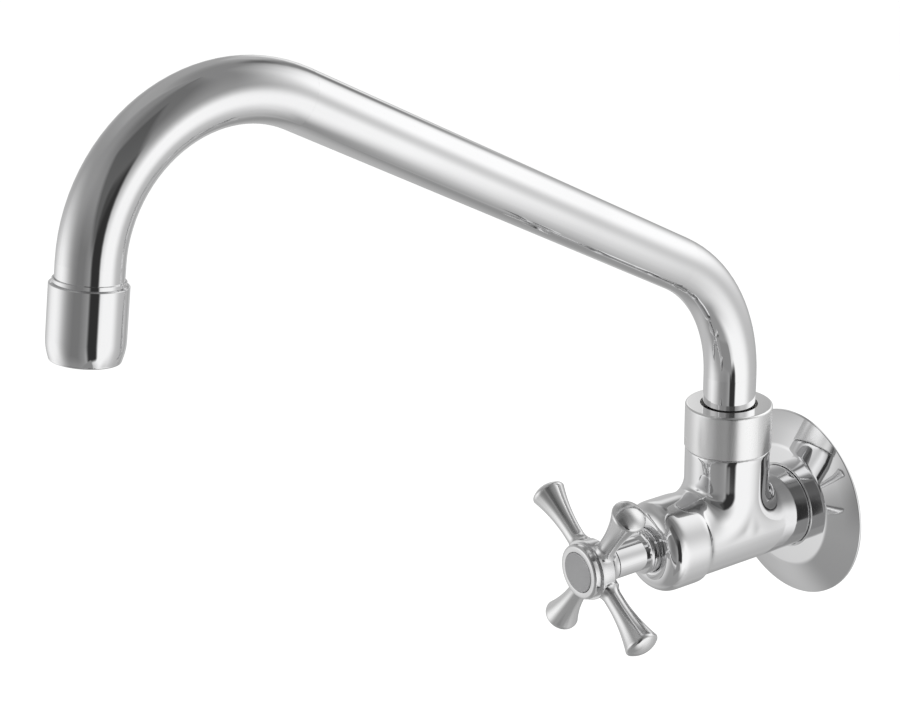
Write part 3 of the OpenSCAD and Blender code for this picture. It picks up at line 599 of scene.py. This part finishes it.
@dataclass
class DishedFlange:
    """The wall flange, pressed from sheet, with a seat for the barrel and a beaded lip. Sizes in millimetres."""

    rim_radius: float = 35.98
    rim_height: float = 0.95
    rim_round: float = 0.45
    seat_height: float = 4.6
    seat_radius: float = 15.72
    flat_height: float = 5.9
    flat_middle: float = 19.0
    crown_radius: float = 23.5
    crown_round: float = 4.5
    cone_middle: float = 30.0
    hole_radius: float = 11.05
    sheet: float = 1.2
    foot: float = 0.12
    bead_radius: float = 16.1
    bead_round: float = 0.34
    segments: int = 180

    def outline(self) -> Outline:
        """Returns the flange's closed outline, from its hole over the front and back along the underside."""
        rim_start = self.rim_radius - self.rim_round
        slope = math.atan2(self.flat_height - self.rim_height, rim_start - self.crown_radius)
        lean = math.degrees(slope)
        half = self.crown_round * math.tan(slope / 2.0)
        crown = (self.crown_radius - half, self.flat_height - self.crown_round)
        rim_middle = self.rim_height - self.rim_round * math.cos(slope)
        cone = self.flat_height - (self.cone_middle - self.crown_radius) * math.tan(slope)
        front = [(self.hole_radius, self.seat_height - self.sheet), (self.hole_radius, self.seat_height),
                 (self.seat_radius, self.seat_height)]
        front += arc((self.bead_radius, self.flat_height), self.bead_round, 180.0, 0.0, 10)
        front += [(self.flat_middle, self.flat_height)]
        front += arc(crown, self.crown_round, 90.0, 90.0 - lean, 12)
        front += [(self.cone_middle, cone)]
        front += arc((rim_start, rim_middle), self.rim_round, 90.0 - lean, 0.0, 6)
        back = [(self.rim_radius, 0.0), (self.rim_radius - self.sheet, 0.0),
                (self.rim_radius - self.sheet, self.foot),
                (self.crown_radius - self.sheet / 2.0, self.flat_height - self.sheet),
                (self.seat_radius + self.sheet, self.flat_height - self.sheet),
                (self.seat_radius, self.seat_height - self.sheet)]
        return front + back + front[:1]

    def build(self) -> bpy.types.Object:
        """Builds the flange in place of the plain one.

        Returns:
            The flange.
        """
        flange = turned("dished_flange", self.outline(), self.segments)
        flange.data.transform(OUT_FROM_WALL)
        finished(flange)
        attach(flange, "tap")
        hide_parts("wall_flange")
        return flange


@dataclass
class CloseNipple:
    """The nipple between the wall and the body, with threads at both ends. Sizes in millimetres."""

    wall_end: float = 18.0
    inner_end: float = 17.5
    crest_radius: float = 10.6
    root_radius: float = 9.55
    bore_radius: float = 7.9
    band_radius: float = 10.3
    band_start: float = 1.0
    band_end: float = 4.95
    pitch: float = 1.814
    flat: float = 0.2
    chamfer: float = 0.7
    segments: int = 96

    def thread(self, start: float, end: float) -> Outline:
        """Returns the ridges of a thread between two heights."""
        turns = int((end - start) / self.pitch)
        ridges: Outline = []
        for turn in range(turns):
            foot = start + self.pitch * turn
            ridges += [(self.root_radius, foot + self.flat),
                       (self.crest_radius, foot + self.pitch / 2.0),
                       (self.crest_radius, foot + self.pitch / 2.0 + self.flat)]
        return ridges + [(self.root_radius, start + self.pitch * turns)]

    def build(self) -> bpy.types.Object:
        """Builds the nipple in place of the plain one.

        Returns:
            The nipple.
        """
        outline = [(self.bore_radius, -self.wall_end), (self.root_radius - self.chamfer, -self.wall_end)]
        outline += self.thread(-self.wall_end + self.chamfer / 2.0, self.band_start)
        outline += [(self.band_radius, self.band_start + self.flat), (self.band_radius, self.band_end)]
        outline += self.thread(self.band_end + self.flat, self.inner_end - self.chamfer / 2.0)
        outline += [(self.root_radius - self.chamfer, self.inner_end), (self.bore_radius, self.inner_end)]
        nipple = turned("threaded_nipple", outline + outline[:1], self.segments)
        nipple.data.transform(OUT_FROM_WALL)
        finished(nipple)
        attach(nipple, "tap")
        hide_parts("inlet_nipple")
        return nipple


@dataclass
class CastBody:
    """The cast body, its skin evened out as polishing leaves it. Sizes in metres."""

    cell: float = 0.00052
    passes: int = 18
    evening: float = 0.5
    bore_radius: float = 0.0135
    socket_radius: float = 0.0113
    neck_y: float = -0.0345
    front_y: float = -0.0715
    nut_start: float = 0.0313
    spigot_reach: float = 0.0148
    relief: float = 0.0003

    def on_skin(self, point: Vector) -> bool:
        """Tells whether a point lies on the outside, where the polishing wheel reaches."""
        in_body = math.hypot(point.x, point.z) < self.bore_radius and point.y > self.front_y
        from_neck = math.hypot(point.x, point.y - self.neck_y)
        in_neck = point.z > 0.0 and from_neck < self.socket_radius
        under_nut = point.z > self.nut_start and from_neck < self.spigot_reach
        return not in_body and not in_neck and not under_nut

    def build(self, source: bpy.types.Object) -> bpy.types.Object:
        """Builds the polished body over the plain one's shape.

        Args:
            source: The frame's body.

        Returns:
            The polished body.
        """
        body = bpy.data.objects.new("polished_body", source.data.copy())
        bpy.context.scene.collection.objects.link(body)
        bpy.ops.object.select_all(action="DESELECT")
        bpy.context.view_layer.objects.active = body
        body.select_set(True)
        bpy.ops.object.mode_set(mode="EDIT")
        bpy.ops.mesh.select_all(action="SELECT")
        bpy.ops.mesh.remove_doubles(threshold=MERGE_DISTANCE)
        bpy.ops.object.mode_set(mode="OBJECT")
        bpy.ops.mesh.customdata_custom_splitnormals_clear()
        skin = body.modifiers.new("Skin", "REMESH")
        skin.mode = "VOXEL"
        skin.voxel_size = self.cell
        bpy.ops.object.modifier_apply(modifier=skin.name)
        outside = body.vertex_groups.new(name="Outside")
        outside.add([vertex.index for vertex in body.data.vertices if self.on_skin(vertex.co)], 1.0, "REPLACE")
        polish = body.modifiers.new("Polish", "SMOOTH")
        polish.vertex_group = outside.name
        polish.factor = self.evening
        polish.iterations = self.passes
        bpy.ops.object.modifier_apply(modifier=polish.name)
        seats = body.modifiers.new("Seats", "SHRINKWRAP")
        seats.target = source
        seats.wrap_method = "NEAREST_SURFACEPOINT"
        seats.wrap_mode = "ABOVE_SURFACE"
        seats.offset = -self.relief
        seats.vertex_group = outside.name
        seats.invert_vertex_group = True
        bpy.ops.object.modifier_apply(modifier=seats.name)
        bpy.ops.object.shade_smooth()
        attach(body, "tap")
        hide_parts("tap_body")
        log.info("polished body: %d faces", len(body.data.polygons))
        return body


@dataclass
class CastCross:
    """The cross handle: a hub and four trumpet-shaped arms, cast in one. Sizes in millimetres."""

    rear: float = 89.3
    rear_radius: float = 6.7
    collar: float = 1.2
    waist_radius: float = 10.1
    front_radius: float = 10.4
    band_start: float = 94.6
    band_end: float = 99.6
    groove_radius: float = 9.5
    bezel_start: float = 100.3
    bezel_radius: float = 10.1
    bezel_end: float = 103.5
    bezel_round: float = 1.15
    cap_floor: float = 101.75
    cap_radius: float = 7.35
    head_floor: float = 99.25
    head_radius: float = 4.2
    square_floor: float = 97.85
    screw_radius: float = 2.05
    square_side: float = 5.5
    arm_plane: float = 96.2
    arm_angle: float = 54.9
    arm_start: float = 6.2
    arm_root_radius: float = 3.35
    root_end: float = 13.2
    root_round: float = 5.0
    root_reach: float = 3.0
    plain_length: float = 1.0
    reach: float = 34.4
    tip_radius: float = 6.3
    tip_round: float = 1.5
    dome_lean: float = 38.0
    axis_hole: float = 0.05
    hub_segments: int = 128
    arm_segments: int = 72

    def hub_outline(self) -> Outline:
        """Returns the hub's closed outline, from its rear over the outside to the cap's recess."""
        start = self.rear + self.collar
        length = self.band_start - start
        depth = self.waist_radius - self.rear_radius
        waist = (length ** 2 + depth ** 2) / (2.0 * depth)
        sweep = math.degrees(math.asin(length / waist))
        outline = [(self.screw_radius, self.rear), (self.rear_radius - 0.3, self.rear),
                   (self.rear_radius, self.rear + 0.3), (self.rear_radius, start)]
        outline += arc((self.rear_radius + waist, start), waist, 180.0, 180.0 - sweep, 14)[1:]
        outline += arc((self.front_radius - 0.35, self.band_start + 0.35), 0.35, -60.0, 0.0, 4)
        outline += arc((self.front_radius - 0.35, self.band_end - 0.35), 0.35, 0.0, 90.0, 5)
        outline += [(self.groove_radius, self.band_end), (self.groove_radius, self.bezel_start)]
        outline += arc((self.bezel_radius - 0.3, self.bezel_start + 0.3), 0.3, -90.0, 0.0, 4)
        edge = (self.bezel_radius - self.bezel_round, self.bezel_end - self.bezel_round)
        outline += arc(edge, self.bezel_round, 0.0, 90.0, 10)
        outline += arc((self.cap_radius + 0.35, self.bezel_end - 0.35), 0.35, 90.0, 180.0, 5)
        outline += [(self.cap_radius, self.cap_floor), (self.head_radius, self.cap_floor),
                    (self.head_radius, self.head_floor), (self.screw_radius, self.head_floor)]
        return outline + outline[:1]

    def arm_outline(self) -> Outline:
        """Returns an arm's outline, from inside the hub to the middle of its domed end."""
        root_centre = self.arm_root_radius + self.root_round
        sweep = math.degrees(math.asin(self.root_reach / self.root_round))
        widest = root_centre - self.root_round * math.cos(math.radians(sweep))
        outline = [(self.axis_hole, self.arm_start), (widest, self.arm_start)]
        outline += arc((root_centre, self.root_end), self.root_round, 180.0 + sweep, 180.0, 8)
        start = self.root_end + self.plain_length
        length = self.reach - self.tip_round - start
        depth = self.tip_radius - self.arm_root_radius
        flare = (length ** 2 + depth ** 2) / (2.0 * depth)
        turn = math.degrees(math.asin(length / flare))
        outline += arc((self.arm_root_radius + flare, start), flare, 180.0, 180.0 - turn, 22)
        face = self.tip_radius - self.tip_round
        edge_height = self.reach - self.tip_round
        lean = math.radians(self.dome_lean)
        outline += arc((face, edge_height), self.tip_round, 0.0, 90.0 - self.dome_lean, 10)[1:]
        bulge = (face + self.tip_round * math.sin(lean)) / math.sin(lean)
        centre = edge_height + (self.tip_round - bulge) * math.cos(lean)
        outline += arc((0.0, centre), bulge, 90.0 - self.dome_lean, 89.3, 8)[1:]
        return outline

    def build(self) -> bpy.types.Object:
        """Builds the handle in place of the plain one.

        Returns:
            The handle.
        """
        handle = turned("cross_handle", self.hub_outline(), self.hub_segments)
        first = turned("arm", self.arm_outline(), self.arm_segments)
        bpy.ops.object.mode_set(mode="EDIT")
        bpy.ops.mesh.select_all(action="SELECT")
        bpy.ops.mesh.fill_holes(sides=0)
        bpy.ops.mesh.normals_make_consistent(inside=False)
        bpy.ops.object.mode_set(mode="OBJECT")
        for quarter in range(4):
            arm = first.copy()
            arm.data = first.data.copy()
            bpy.context.scene.collection.objects.link(arm)
            turn = Matrix.Rotation(math.radians(self.arm_angle + 90.0 * quarter), 4, "Z")
            lift = Matrix.Translation((0.0, 0.0, self.arm_plane * MILLIMETRE))
            arm.data.transform(lift @ turn @ Matrix.Rotation(math.radians(90.0), 4, "Y"))
            combined(handle, arm, "UNION")
        bpy.data.objects.remove(first)
        beyond = self.front_radius + 0.6
        groove = turned("groove", [(self.groove_radius, self.band_end), (beyond, self.band_end),
                                   (beyond, self.bezel_start), (self.groove_radius, self.bezel_start),
                                   (self.groove_radius, self.band_end)], self.hub_segments)
        combined(handle, groove, "DIFFERENCE")
        side = self.square_side * MILLIMETRE
        depth = (self.square_floor - self.rear + 1.0) * MILLIMETRE
        bpy.ops.object.select_all(action="DESELECT")
        bpy.ops.mesh.primitive_cube_add(size=1.0)
        hole = bpy.context.object
        hole.data.transform(Matrix.Diagonal((side, side, depth, 1.0)))
        turn = Matrix.Rotation(math.radians(self.arm_angle), 4, "Z")
        middle = (self.square_floor + self.rear - 1.0) / 2.0 * MILLIMETRE
        hole.data.transform(Matrix.Translation((0.0, 0.0, middle)) @ turn)
        combined(handle, hole, "DIFFERENCE")
        handle.data.transform(OUT_FROM_WALL)
        finished(handle)
        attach(handle, "handle_set")
        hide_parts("handle")
        return handle


@dataclass
class WallMounting:
    """The flange on the wall and the nipple through it."""

    finishes: dict[str, Finish] = field(default_factory=lambda: {
        "wall_flange": POLISHED, "dished_flange": POLISHED, "inlet_nipple": BRASS, "threaded_nipple": BRASS})
    flange: DishedFlange = field(default_factory=DishedFlange)
    nipple: CloseNipple = field(default_factory=CloseNipple)

    def build(self, wardrobe: Wardrobe) -> None:
        """Builds the flange and the nipple and dresses the mounting."""
        wardrobe.take_in(self.flange.build())
        wardrobe.take_in(self.nipple.build())
        wardrobe.dress(self.finishes)


@dataclass
class ValveBody:
    """The cast body with its seat."""

    finishes: dict[str, Finish] = field(default_factory=lambda: {
        "tap_body": POLISHED, "polished_body": POLISHED, "valve_seat": BRASS, "seat_gasket": FIBRE})
    cast: CastBody = field(default_factory=CastBody)

    def build(self, wardrobe: Wardrobe) -> None:
        """Builds the polished body and dresses it with its seat."""
        wardrobe.take_in(self.cast.build(wardrobe.nodes["tap_body"]))
        wardrobe.dress(self.finishes)


@dataclass
class Headwork:
    """The bonnet with everything that moves in it."""

    finishes: dict[str, Finish] = field(default_factory=lambda: {
        "bonnet": POLISHED, "bonnet_seal": RUBBER, "bonnet_sleeve": POLISHED, "thrust_washer": WHITE_PLASTIC,
        "spindle": BRASS, "stem_seals": RUBBER, "spindle_clip": STEEL, "valve_carrier": BRASS,
        "valve_washer": RUBBER, "washer_screw": BRASS})

    def build(self, wardrobe: Wardrobe) -> None:
        """Dresses the sub-assembly."""
        wardrobe.dress(self.finishes)


@dataclass
class CrossHandle:
    """The cross handle with its screw and cap."""

    finishes: dict[str, Finish] = field(default_factory=lambda: {
        "handle": SATIN, "cross_handle": SATIN, "handle_lock_washer": STEEL, "handle_screw": STEEL,
        "index_cap": CAP_PLASTIC})
    cross: CastCross = field(default_factory=CastCross)

    def build(self, wardrobe: Wardrobe) -> None:
        """Builds the cross and dresses the handle."""
        wardrobe.take_in(self.cross.build())
        wardrobe.dress(self.finishes)


@dataclass
class SwingSpout:
    """The spout with its nut and its turning joint."""

    finishes: dict[str, Finish] = field(default_factory=lambda: {
        "spout_nut": NUT_PLATE, "slip_ring": WHITE_PLASTIC, "spout_end": BRASS, "spout_seals": RUBBER,
        "spout_tube": POLISHED})

    def build(self, wardrobe: Wardrobe) -> None:
        """Dresses the sub-assembly."""
        wardrobe.dress(self.finishes)


@dataclass
class Outlet:
    """The aerator at the end of the spout."""

    finishes: dict[str, Finish] = field(default_factory=lambda: {
        "outlet_fitting": POLISHED, "outlet_shell": POLISHED, "outlet_gasket": RUBBER,
        "outlet_insert": WHITE_PLASTIC, "outlet_screen": STEEL})

    def build(self, wardrobe: Wardrobe) -> None:
        """Dresses the sub-assembly."""
        wardrobe.dress(self.finishes)


@dataclass(frozen=True)
class Panel:
    """A soft-edged panel of the light tent, placed by the angles at which the tap sees it, in degrees."""

    name: str
    azimuth: float
    elevation: float
    half_width: float
    half_height: float
    lean: float
    corner: float
    edge: float
    tone: float


@dataclass(frozen=True)
class Lamp:
    """A soft area lamp aimed at the tap."""

    name: str
    azimuth: float
    elevation: float
    distance: float
    size: float
    power: float


@dataclass
class LightTent:
    """A round tent of grey and white fabric, which only polished surfaces show."""

    centre: tuple[float, float, float] = (0.0, -0.10, 0.08)
    radius: float = 0.70
    front: float = 56.484
    gain: float = 1.12
    display_gamma: float = 2.2
    blend: float = 75.0
    floor_tone: float = 0.56
    wall_tone: float = 0.61
    roof_tone: float = 0.51
    panels: tuple[Panel, ...] = (
        Panel("Roof front", -2.0, 62.7, 35.7, 23.7, -17.0, 0.45, 22.2, 0.40),
        Panel("Low right wall", 72.5, -39.2, 25.0, 22.2, -79.8, 0.69, 28.0, 0.90),
        Panel("Rear wall", 180.0, 5.6, 10.5, 43.3, -8.5, 0.32, 4.5, 0.72),
        Panel("Right softbox", 114.7, 26.8, 38.2, 32.8, 0.4, 1.00, 23.2, 0.99),
        Panel("Rear line", 164.0, 42.1, 8.8, 18.9, -5.4, 1.00, 10.8, 0.27),
        Panel("Left reflector", -95.4, -14.4, 37.6, 23.5, 36.1, 0.92, 19.3, 0.95),
        Panel("Grey left of the flag", -30.3, -2.5, 14.4, 19.4, -15.1, 0.53, 25.5, 0.39),
        Panel("Right reflector", 42.9, -20.9, 37.7, 28.5, 32.6, 0.59, 17.0, 0.96),
        Panel("Flag", 9.3, -3.9, 12.3, 27.1, -2.6, 0.36, 4.1, 0.20),
        Panel("Flag top", -3.4, 33.4, 21.9, 16.4, -58.9, 0.10, 6.0, 0.30),
        Panel("Low back right", 112.6, -43.6, 29.4, 29.7, -19.6, 0.24, 28.0, 0.73),
        Panel("Floor left", -143.6, -30.6, 29.7, 47.5, 25.4, 0.99, 25.6, 0.72),
        Panel("Roof back", -142.4, 49.5, 57.6, 8.8, 12.1, 0.10, 20.2, 0.67),
        Panel("Floor front", -14.4, -43.3, 22.9, 11.2, 14.9, 0.30, 2.0, 0.52),
        Panel("Card behind the tap", 180.0, 20.0, 13.0, 9.0, 0.0, 0.80, 6.0, 0.88),
    )

    def soft_panel(self) -> bpy.types.NodeTree:
        """Makes the group for one soft-edged panel.

        Returns:
            A group from Angles, Place, Inner half size, Lean, Corner and Edge to Mask.
        """
        group, source, sink = new_group(
            "Soft panel",
            [Socket("Angles", Kind.VECTOR), Socket("Place", Kind.VECTOR), Socket("Inner half size", Kind.VECTOR),
             Socket("Lean"), Socket("Corner"), Socket("Edge", value=5.0)],
            [Socket("Mask")])
        away = vector_node(group, "SUBTRACT", source.outputs["Angles"], source.outputs["Place"])
        away = vector_node(group, "WRAP", away, (180.0, 180.0, 180.0), (-180.0, -180.0, -180.0))
        turn = group.nodes.new("ShaderNodeVectorRotate")
        turn.rotation_type = "Z_AXIS"
        group.links.new(away, turn.inputs["Vector"])
        group.links.new(source.outputs["Lean"], turn.inputs["Angle"])
        inside = vector_node(group, "ABSOLUTE", turn.outputs["Vector"])
        beyond = vector_node(group, "SUBTRACT", inside, source.outputs["Inner half size"])
        beyond = vector_node(group, "MAXIMUM", beyond, (0.0, 0.0, 0.0))
        length = group.nodes.new("ShaderNodeVectorMath")
        length.operation = "LENGTH"
        group.links.new(beyond, length.inputs[0])
        distance = math_node(group, "SUBTRACT", length.outputs["Value"], source.outputs["Corner"])
        fade = math_node(group, "DIVIDE", distance, source.outputs["Edge"])
        mask = ranged(group, fade, (1.0, -1.0), (0.0, 1.0), "SMOOTHSTEP")
        group.links.new(mask, sink.inputs["Mask"])
        return group

    def angles(self, tree: bpy.types.NodeTree) -> tuple[bpy.types.NodeSocket, bpy.types.NodeSocket]:
        """Adds nodes that give a place's angles from the tent's centre.

        Args:
            tree: Tree that takes the nodes.

        Returns:
            A vector of azimuth and elevation, and the elevation, both in degrees.
        """
        place = tree.nodes.new("ShaderNodeTexCoord").outputs["Object"]
        away = vector_node(tree, "SUBTRACT", place, self.centre)
        split = tree.nodes.new("ShaderNodeSeparateXYZ")
        tree.links.new(vector_node(tree, "NORMALIZE", away), split.inputs[0])
        behind = math_node(tree, "MULTIPLY", split.outputs["Y"], -1.0)
        around = math_node(tree, "ARCTAN2", split.outputs["X"], behind)
        around = math_node(tree, "SUBTRACT", math_node(tree, "DEGREES", around, 0.0), self.front)
        elevation = math_node(tree, "DEGREES", math_node(tree, "ARCSINE", split.outputs["Z"], 0.0), 0.0)
        joined = tree.nodes.new("ShaderNodeCombineXYZ")
        tree.links.new(around, joined.inputs["X"])
        tree.links.new(elevation, joined.inputs["Y"])
        return joined.outputs["Vector"], elevation

    def material(self) -> bpy.types.Material:
        """Builds the fabric's material, whose panels lie over a plain wall.

        Returns:
            The material.
        """
        material = bpy.data.materials.new("Tent fabric")
        material.use_nodes = True
        tree = material.node_tree
        shader = tree.nodes["Principled BSDF"]
        shader.inputs["Base Color"].default_value = (0.0, 0.0, 0.0, 1.0)
        shader.inputs["Roughness"].default_value = 1.0
        shader.inputs["Specular IOR Level"].default_value = 0.0
        shader.inputs["Emission Strength"].default_value = 1.0
        angles, elevation = self.angles(tree)
        upper = ranged(tree, elevation, (0.0, self.blend), (self.wall_tone, self.roof_tone), "SMOOTHSTEP")
        lower = ranged(tree, elevation, (-self.blend, 0.0), (self.floor_tone - self.wall_tone, 0.0), "SMOOTHSTEP")
        tone = math_node(tree, "ADD", upper, lower)
        group = self.soft_panel()
        for panel in self.panels:
            node = tree.nodes.new("ShaderNodeGroup")
            node.node_tree = group
            tree.links.new(angles, node.inputs["Angles"])
            corner = panel.corner * min(panel.half_width, panel.half_height)
            node.inputs["Place"].default_value = (panel.azimuth, panel.elevation, 0.0)
            node.inputs["Inner half size"].default_value = (
                panel.half_width - corner, panel.half_height - corner, 1.0)
            node.inputs["Lean"].default_value = -math.radians(panel.lean)
            node.inputs["Corner"].default_value = corner
            node.inputs["Edge"].default_value = panel.edge
            over = tree.nodes.new("ShaderNodeMix")
            tree.links.new(node.outputs["Mask"], over.inputs["Factor"])
            tree.links.new(tone, over.inputs["A"])
            over.inputs["B"].default_value = panel.tone
            tone = over.outputs["Result"]
        light = math_node(tree, "POWER", tone, self.display_gamma)
        tree.links.new(math_node(tree, "MULTIPLY", light, self.gain), shader.inputs["Emission Color"])
        return material

    def build(self) -> None:
        """Adds the tent, seen by mirror rays alone."""
        bpy.ops.object.select_all(action="DESELECT")
        bpy.ops.mesh.primitive_uv_sphere_add(segments=96, ring_count=48, radius=self.radius)
        tent = bpy.context.object
        tent.name = "Light tent"
        tent.data.transform(Matrix.Translation(self.centre))
        tent.data.materials.append(self.material())
        for kind in ("camera", "diffuse", "transmission", "volume_scatter", "shadow"):
            setattr(tent, "visible_" + kind, False)
        tent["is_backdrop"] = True
        log.info("light tent: %d panels", len(self.panels))


@dataclass
class Studio:
    """Pale floor, white surroundings, light tent, soft lamps and the camera."""

    aim: tuple[float, float, float] = (0.0, -0.13, 0.07)
    floor_height: float = -0.66
    floor_size: float = 30.0
    floor_lift: float = 0.53
    surround: float = 1.0
    daylight: float = 0.55
    lamps: tuple[Lamp, ...] = (
        Lamp("Key", 20.0, 58.0, 1.5, 1.1, 14.0),
        Lamp("Fill", 100.0, 35.0, 1.8, 1.2, 7.0),
    )
    camera_place: tuple[float, float, float] = (0.4822, -0.4753, 0.3081)
    camera_azimuth: float = 56.484
    camera_elevation: float = 20.2
    camera_roll: float = -1.142
    focal_length: float = 76.33

    def direction(self, azimuth: float, elevation: float) -> Vector:
        """Returns the unit direction from the tap towards an azimuth and elevation in degrees."""
        around, up = math.radians(azimuth), math.radians(elevation)
        return Vector((math.sin(around) * math.cos(up), -math.cos(around) * math.cos(up), math.sin(up)))

    def facing(self, azimuth: float, elevation: float, distance: float) -> Matrix:
        """Returns the place and turn of a thing that faces the tap.

        Args:
            azimuth: Degrees round the tap from its front.
            elevation: Degrees above level.
            distance: Metres from the point aimed at.

        Returns:
            A matrix whose -Z looks at the tap.
        """
        away = self.direction(azimuth, elevation)
        turn = away.to_track_quat("Z", "Y").to_matrix().to_4x4()
        return Matrix.Translation(Vector(self.aim) + away * distance) @ turn

    def build_floor(self) -> None:
        """Adds the pale floor, which camera and mirror rays see lighter but still with its shadow."""
        bpy.ops.object.select_all(action="DESELECT")
        bpy.ops.mesh.primitive_plane_add(size=self.floor_size)
        floor = bpy.context.object
        floor.name = "Floor"
        floor.data.transform(Matrix.Translation((0.0, 0.0, self.floor_height)))
        floor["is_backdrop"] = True
        material = bpy.data.materials.new("Pale floor")
        material.use_nodes = True
        tree = material.node_tree
        shader = tree.nodes["Principled BSDF"]
        shader.inputs["Roughness"].default_value = 0.9
        shader.inputs["Specular IOR Level"].default_value = 0.1
        place = tree.nodes.new("ShaderNodeTexCoord").outputs["Object"]
        tone = ranged(tree, noise(tree, place, 3.0, 2.0), (0.3, 0.7), (0.86, 0.89))
        tree.links.new(tone, shader.inputs["Base Color"])
        path = tree.nodes.new("ShaderNodeLightPath")
        seen = math_node(tree, "MAXIMUM", path.outputs["Is Camera Ray"], path.outputs["Is Glossy Ray"])
        seen = math_node(tree, "MAXIMUM", seen, path.outputs["Is Transmission Ray"])
        shader.inputs["Emission Color"].default_value = (1.0, 1.0, 1.0, 1.0)
        tree.links.new(math_node(tree, "MULTIPLY", seen, self.floor_lift), shader.inputs["Emission Strength"])
        floor.data.materials.append(material)

    def build_world(self) -> None:
        """Makes the surroundings white to camera and mirror rays, and softer as light."""
        world = bpy.data.worlds.new("White surroundings")
        bpy.context.scene.world = world
        world.use_nodes = True
        tree = world.node_tree
        background = tree.nodes["Background"]
        background.inputs["Color"].default_value = (1.0, 1.0, 1.0, 1.0)
        path = tree.nodes.new("ShaderNodeLightPath")
        seen = math_node(tree, "MAXIMUM", path.outputs["Is Camera Ray"], path.outputs["Is Glossy Ray"])
        seen = math_node(tree, "MAXIMUM", seen, path.outputs["Is Transmission Ray"])
        strength = ranged(tree, seen, (0.0, 1.0), (self.daylight, self.surround))
        tree.links.new(strength, background.inputs["Strength"])

    def build_lamps(self) -> None:
        """Adds the soft lamps."""
        for lamp in self.lamps:
            data = bpy.data.lights.new(lamp.name, "AREA")
            data.shape = "SQUARE"
            data.size = lamp.size
            data.energy = lamp.power
            made = bpy.data.objects.new(lamp.name, data)
            bpy.context.scene.collection.objects.link(made)
            made.matrix_world = self.facing(lamp.azimuth, lamp.elevation, lamp.distance)
            made.visible_glossy = False

    def build_camera(self) -> None:
        """Sets the camera at the photograph's viewpoint."""
        away = self.direction(self.camera_azimuth, self.camera_elevation)
        around = math.radians(self.camera_azimuth)
        right = Vector((math.cos(around), math.sin(around), 0.0))
        up = away.cross(right)
        lean = math.radians(self.camera_roll)
        leant_right = right * math.cos(lean) + up * math.sin(lean)
        leant_up = up * math.cos(lean) - right * math.sin(lean)
        data = bpy.data.cameras.new("Camera")
        data.lens = self.focal_length
        data.sensor_width = 36.0
        data.clip_start = 0.01
        camera = bpy.data.objects.new("Camera", data)
        bpy.context.scene.collection.objects.link(camera)
        turn = Matrix((leant_right, leant_up, away)).transposed().to_4x4()
        camera.matrix_world = Matrix.Translation(Vector(self.camera_place)) @ turn
        bpy.context.scene.camera = camera

    def build(self) -> None:
        """Builds the whole studio."""
        bpy.context.scene.view_settings.view_transform = "Standard"
        self.build_floor()
        LightTent().build()
        self.build_world()
        self.build_lamps()
        self.build_camera()
        log.info("studio: %d lamps", len(self.lamps))


def plain(bounds: object) -> object:
    """Turns bounds into plain lists of numbers.


    Returns:
        The same as lists and floats.
    """
    if isinstance(bounds, (int, float, str)) or bounds is None:
        return bounds
    if isinstance(bounds, dict):
        return {name: plain(value) for name, value in bounds.items()}
    try:
        return [plain(value) for value in bounds]
    except TypeError:
        return float(bounds)


def main() -> None:
    """Loads the frame, dresses it, builds the studio and measures its bounds before and after."""
    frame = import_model()
    before = plain(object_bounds())
    wardrobe = Wardrobe(dict(frame["nodes"]))
    for assembly in (WallMounting(), ValveBody(), Headwork(), CrossHandle(), SwingSpout(), Outlet()):
        log.info("building %s", type(assembly).__name__)
        assembly.build(wardrobe)
    Studio().build()
    {"before": before, "after": plain(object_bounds())}


if __name__ == "__main__":
    main()
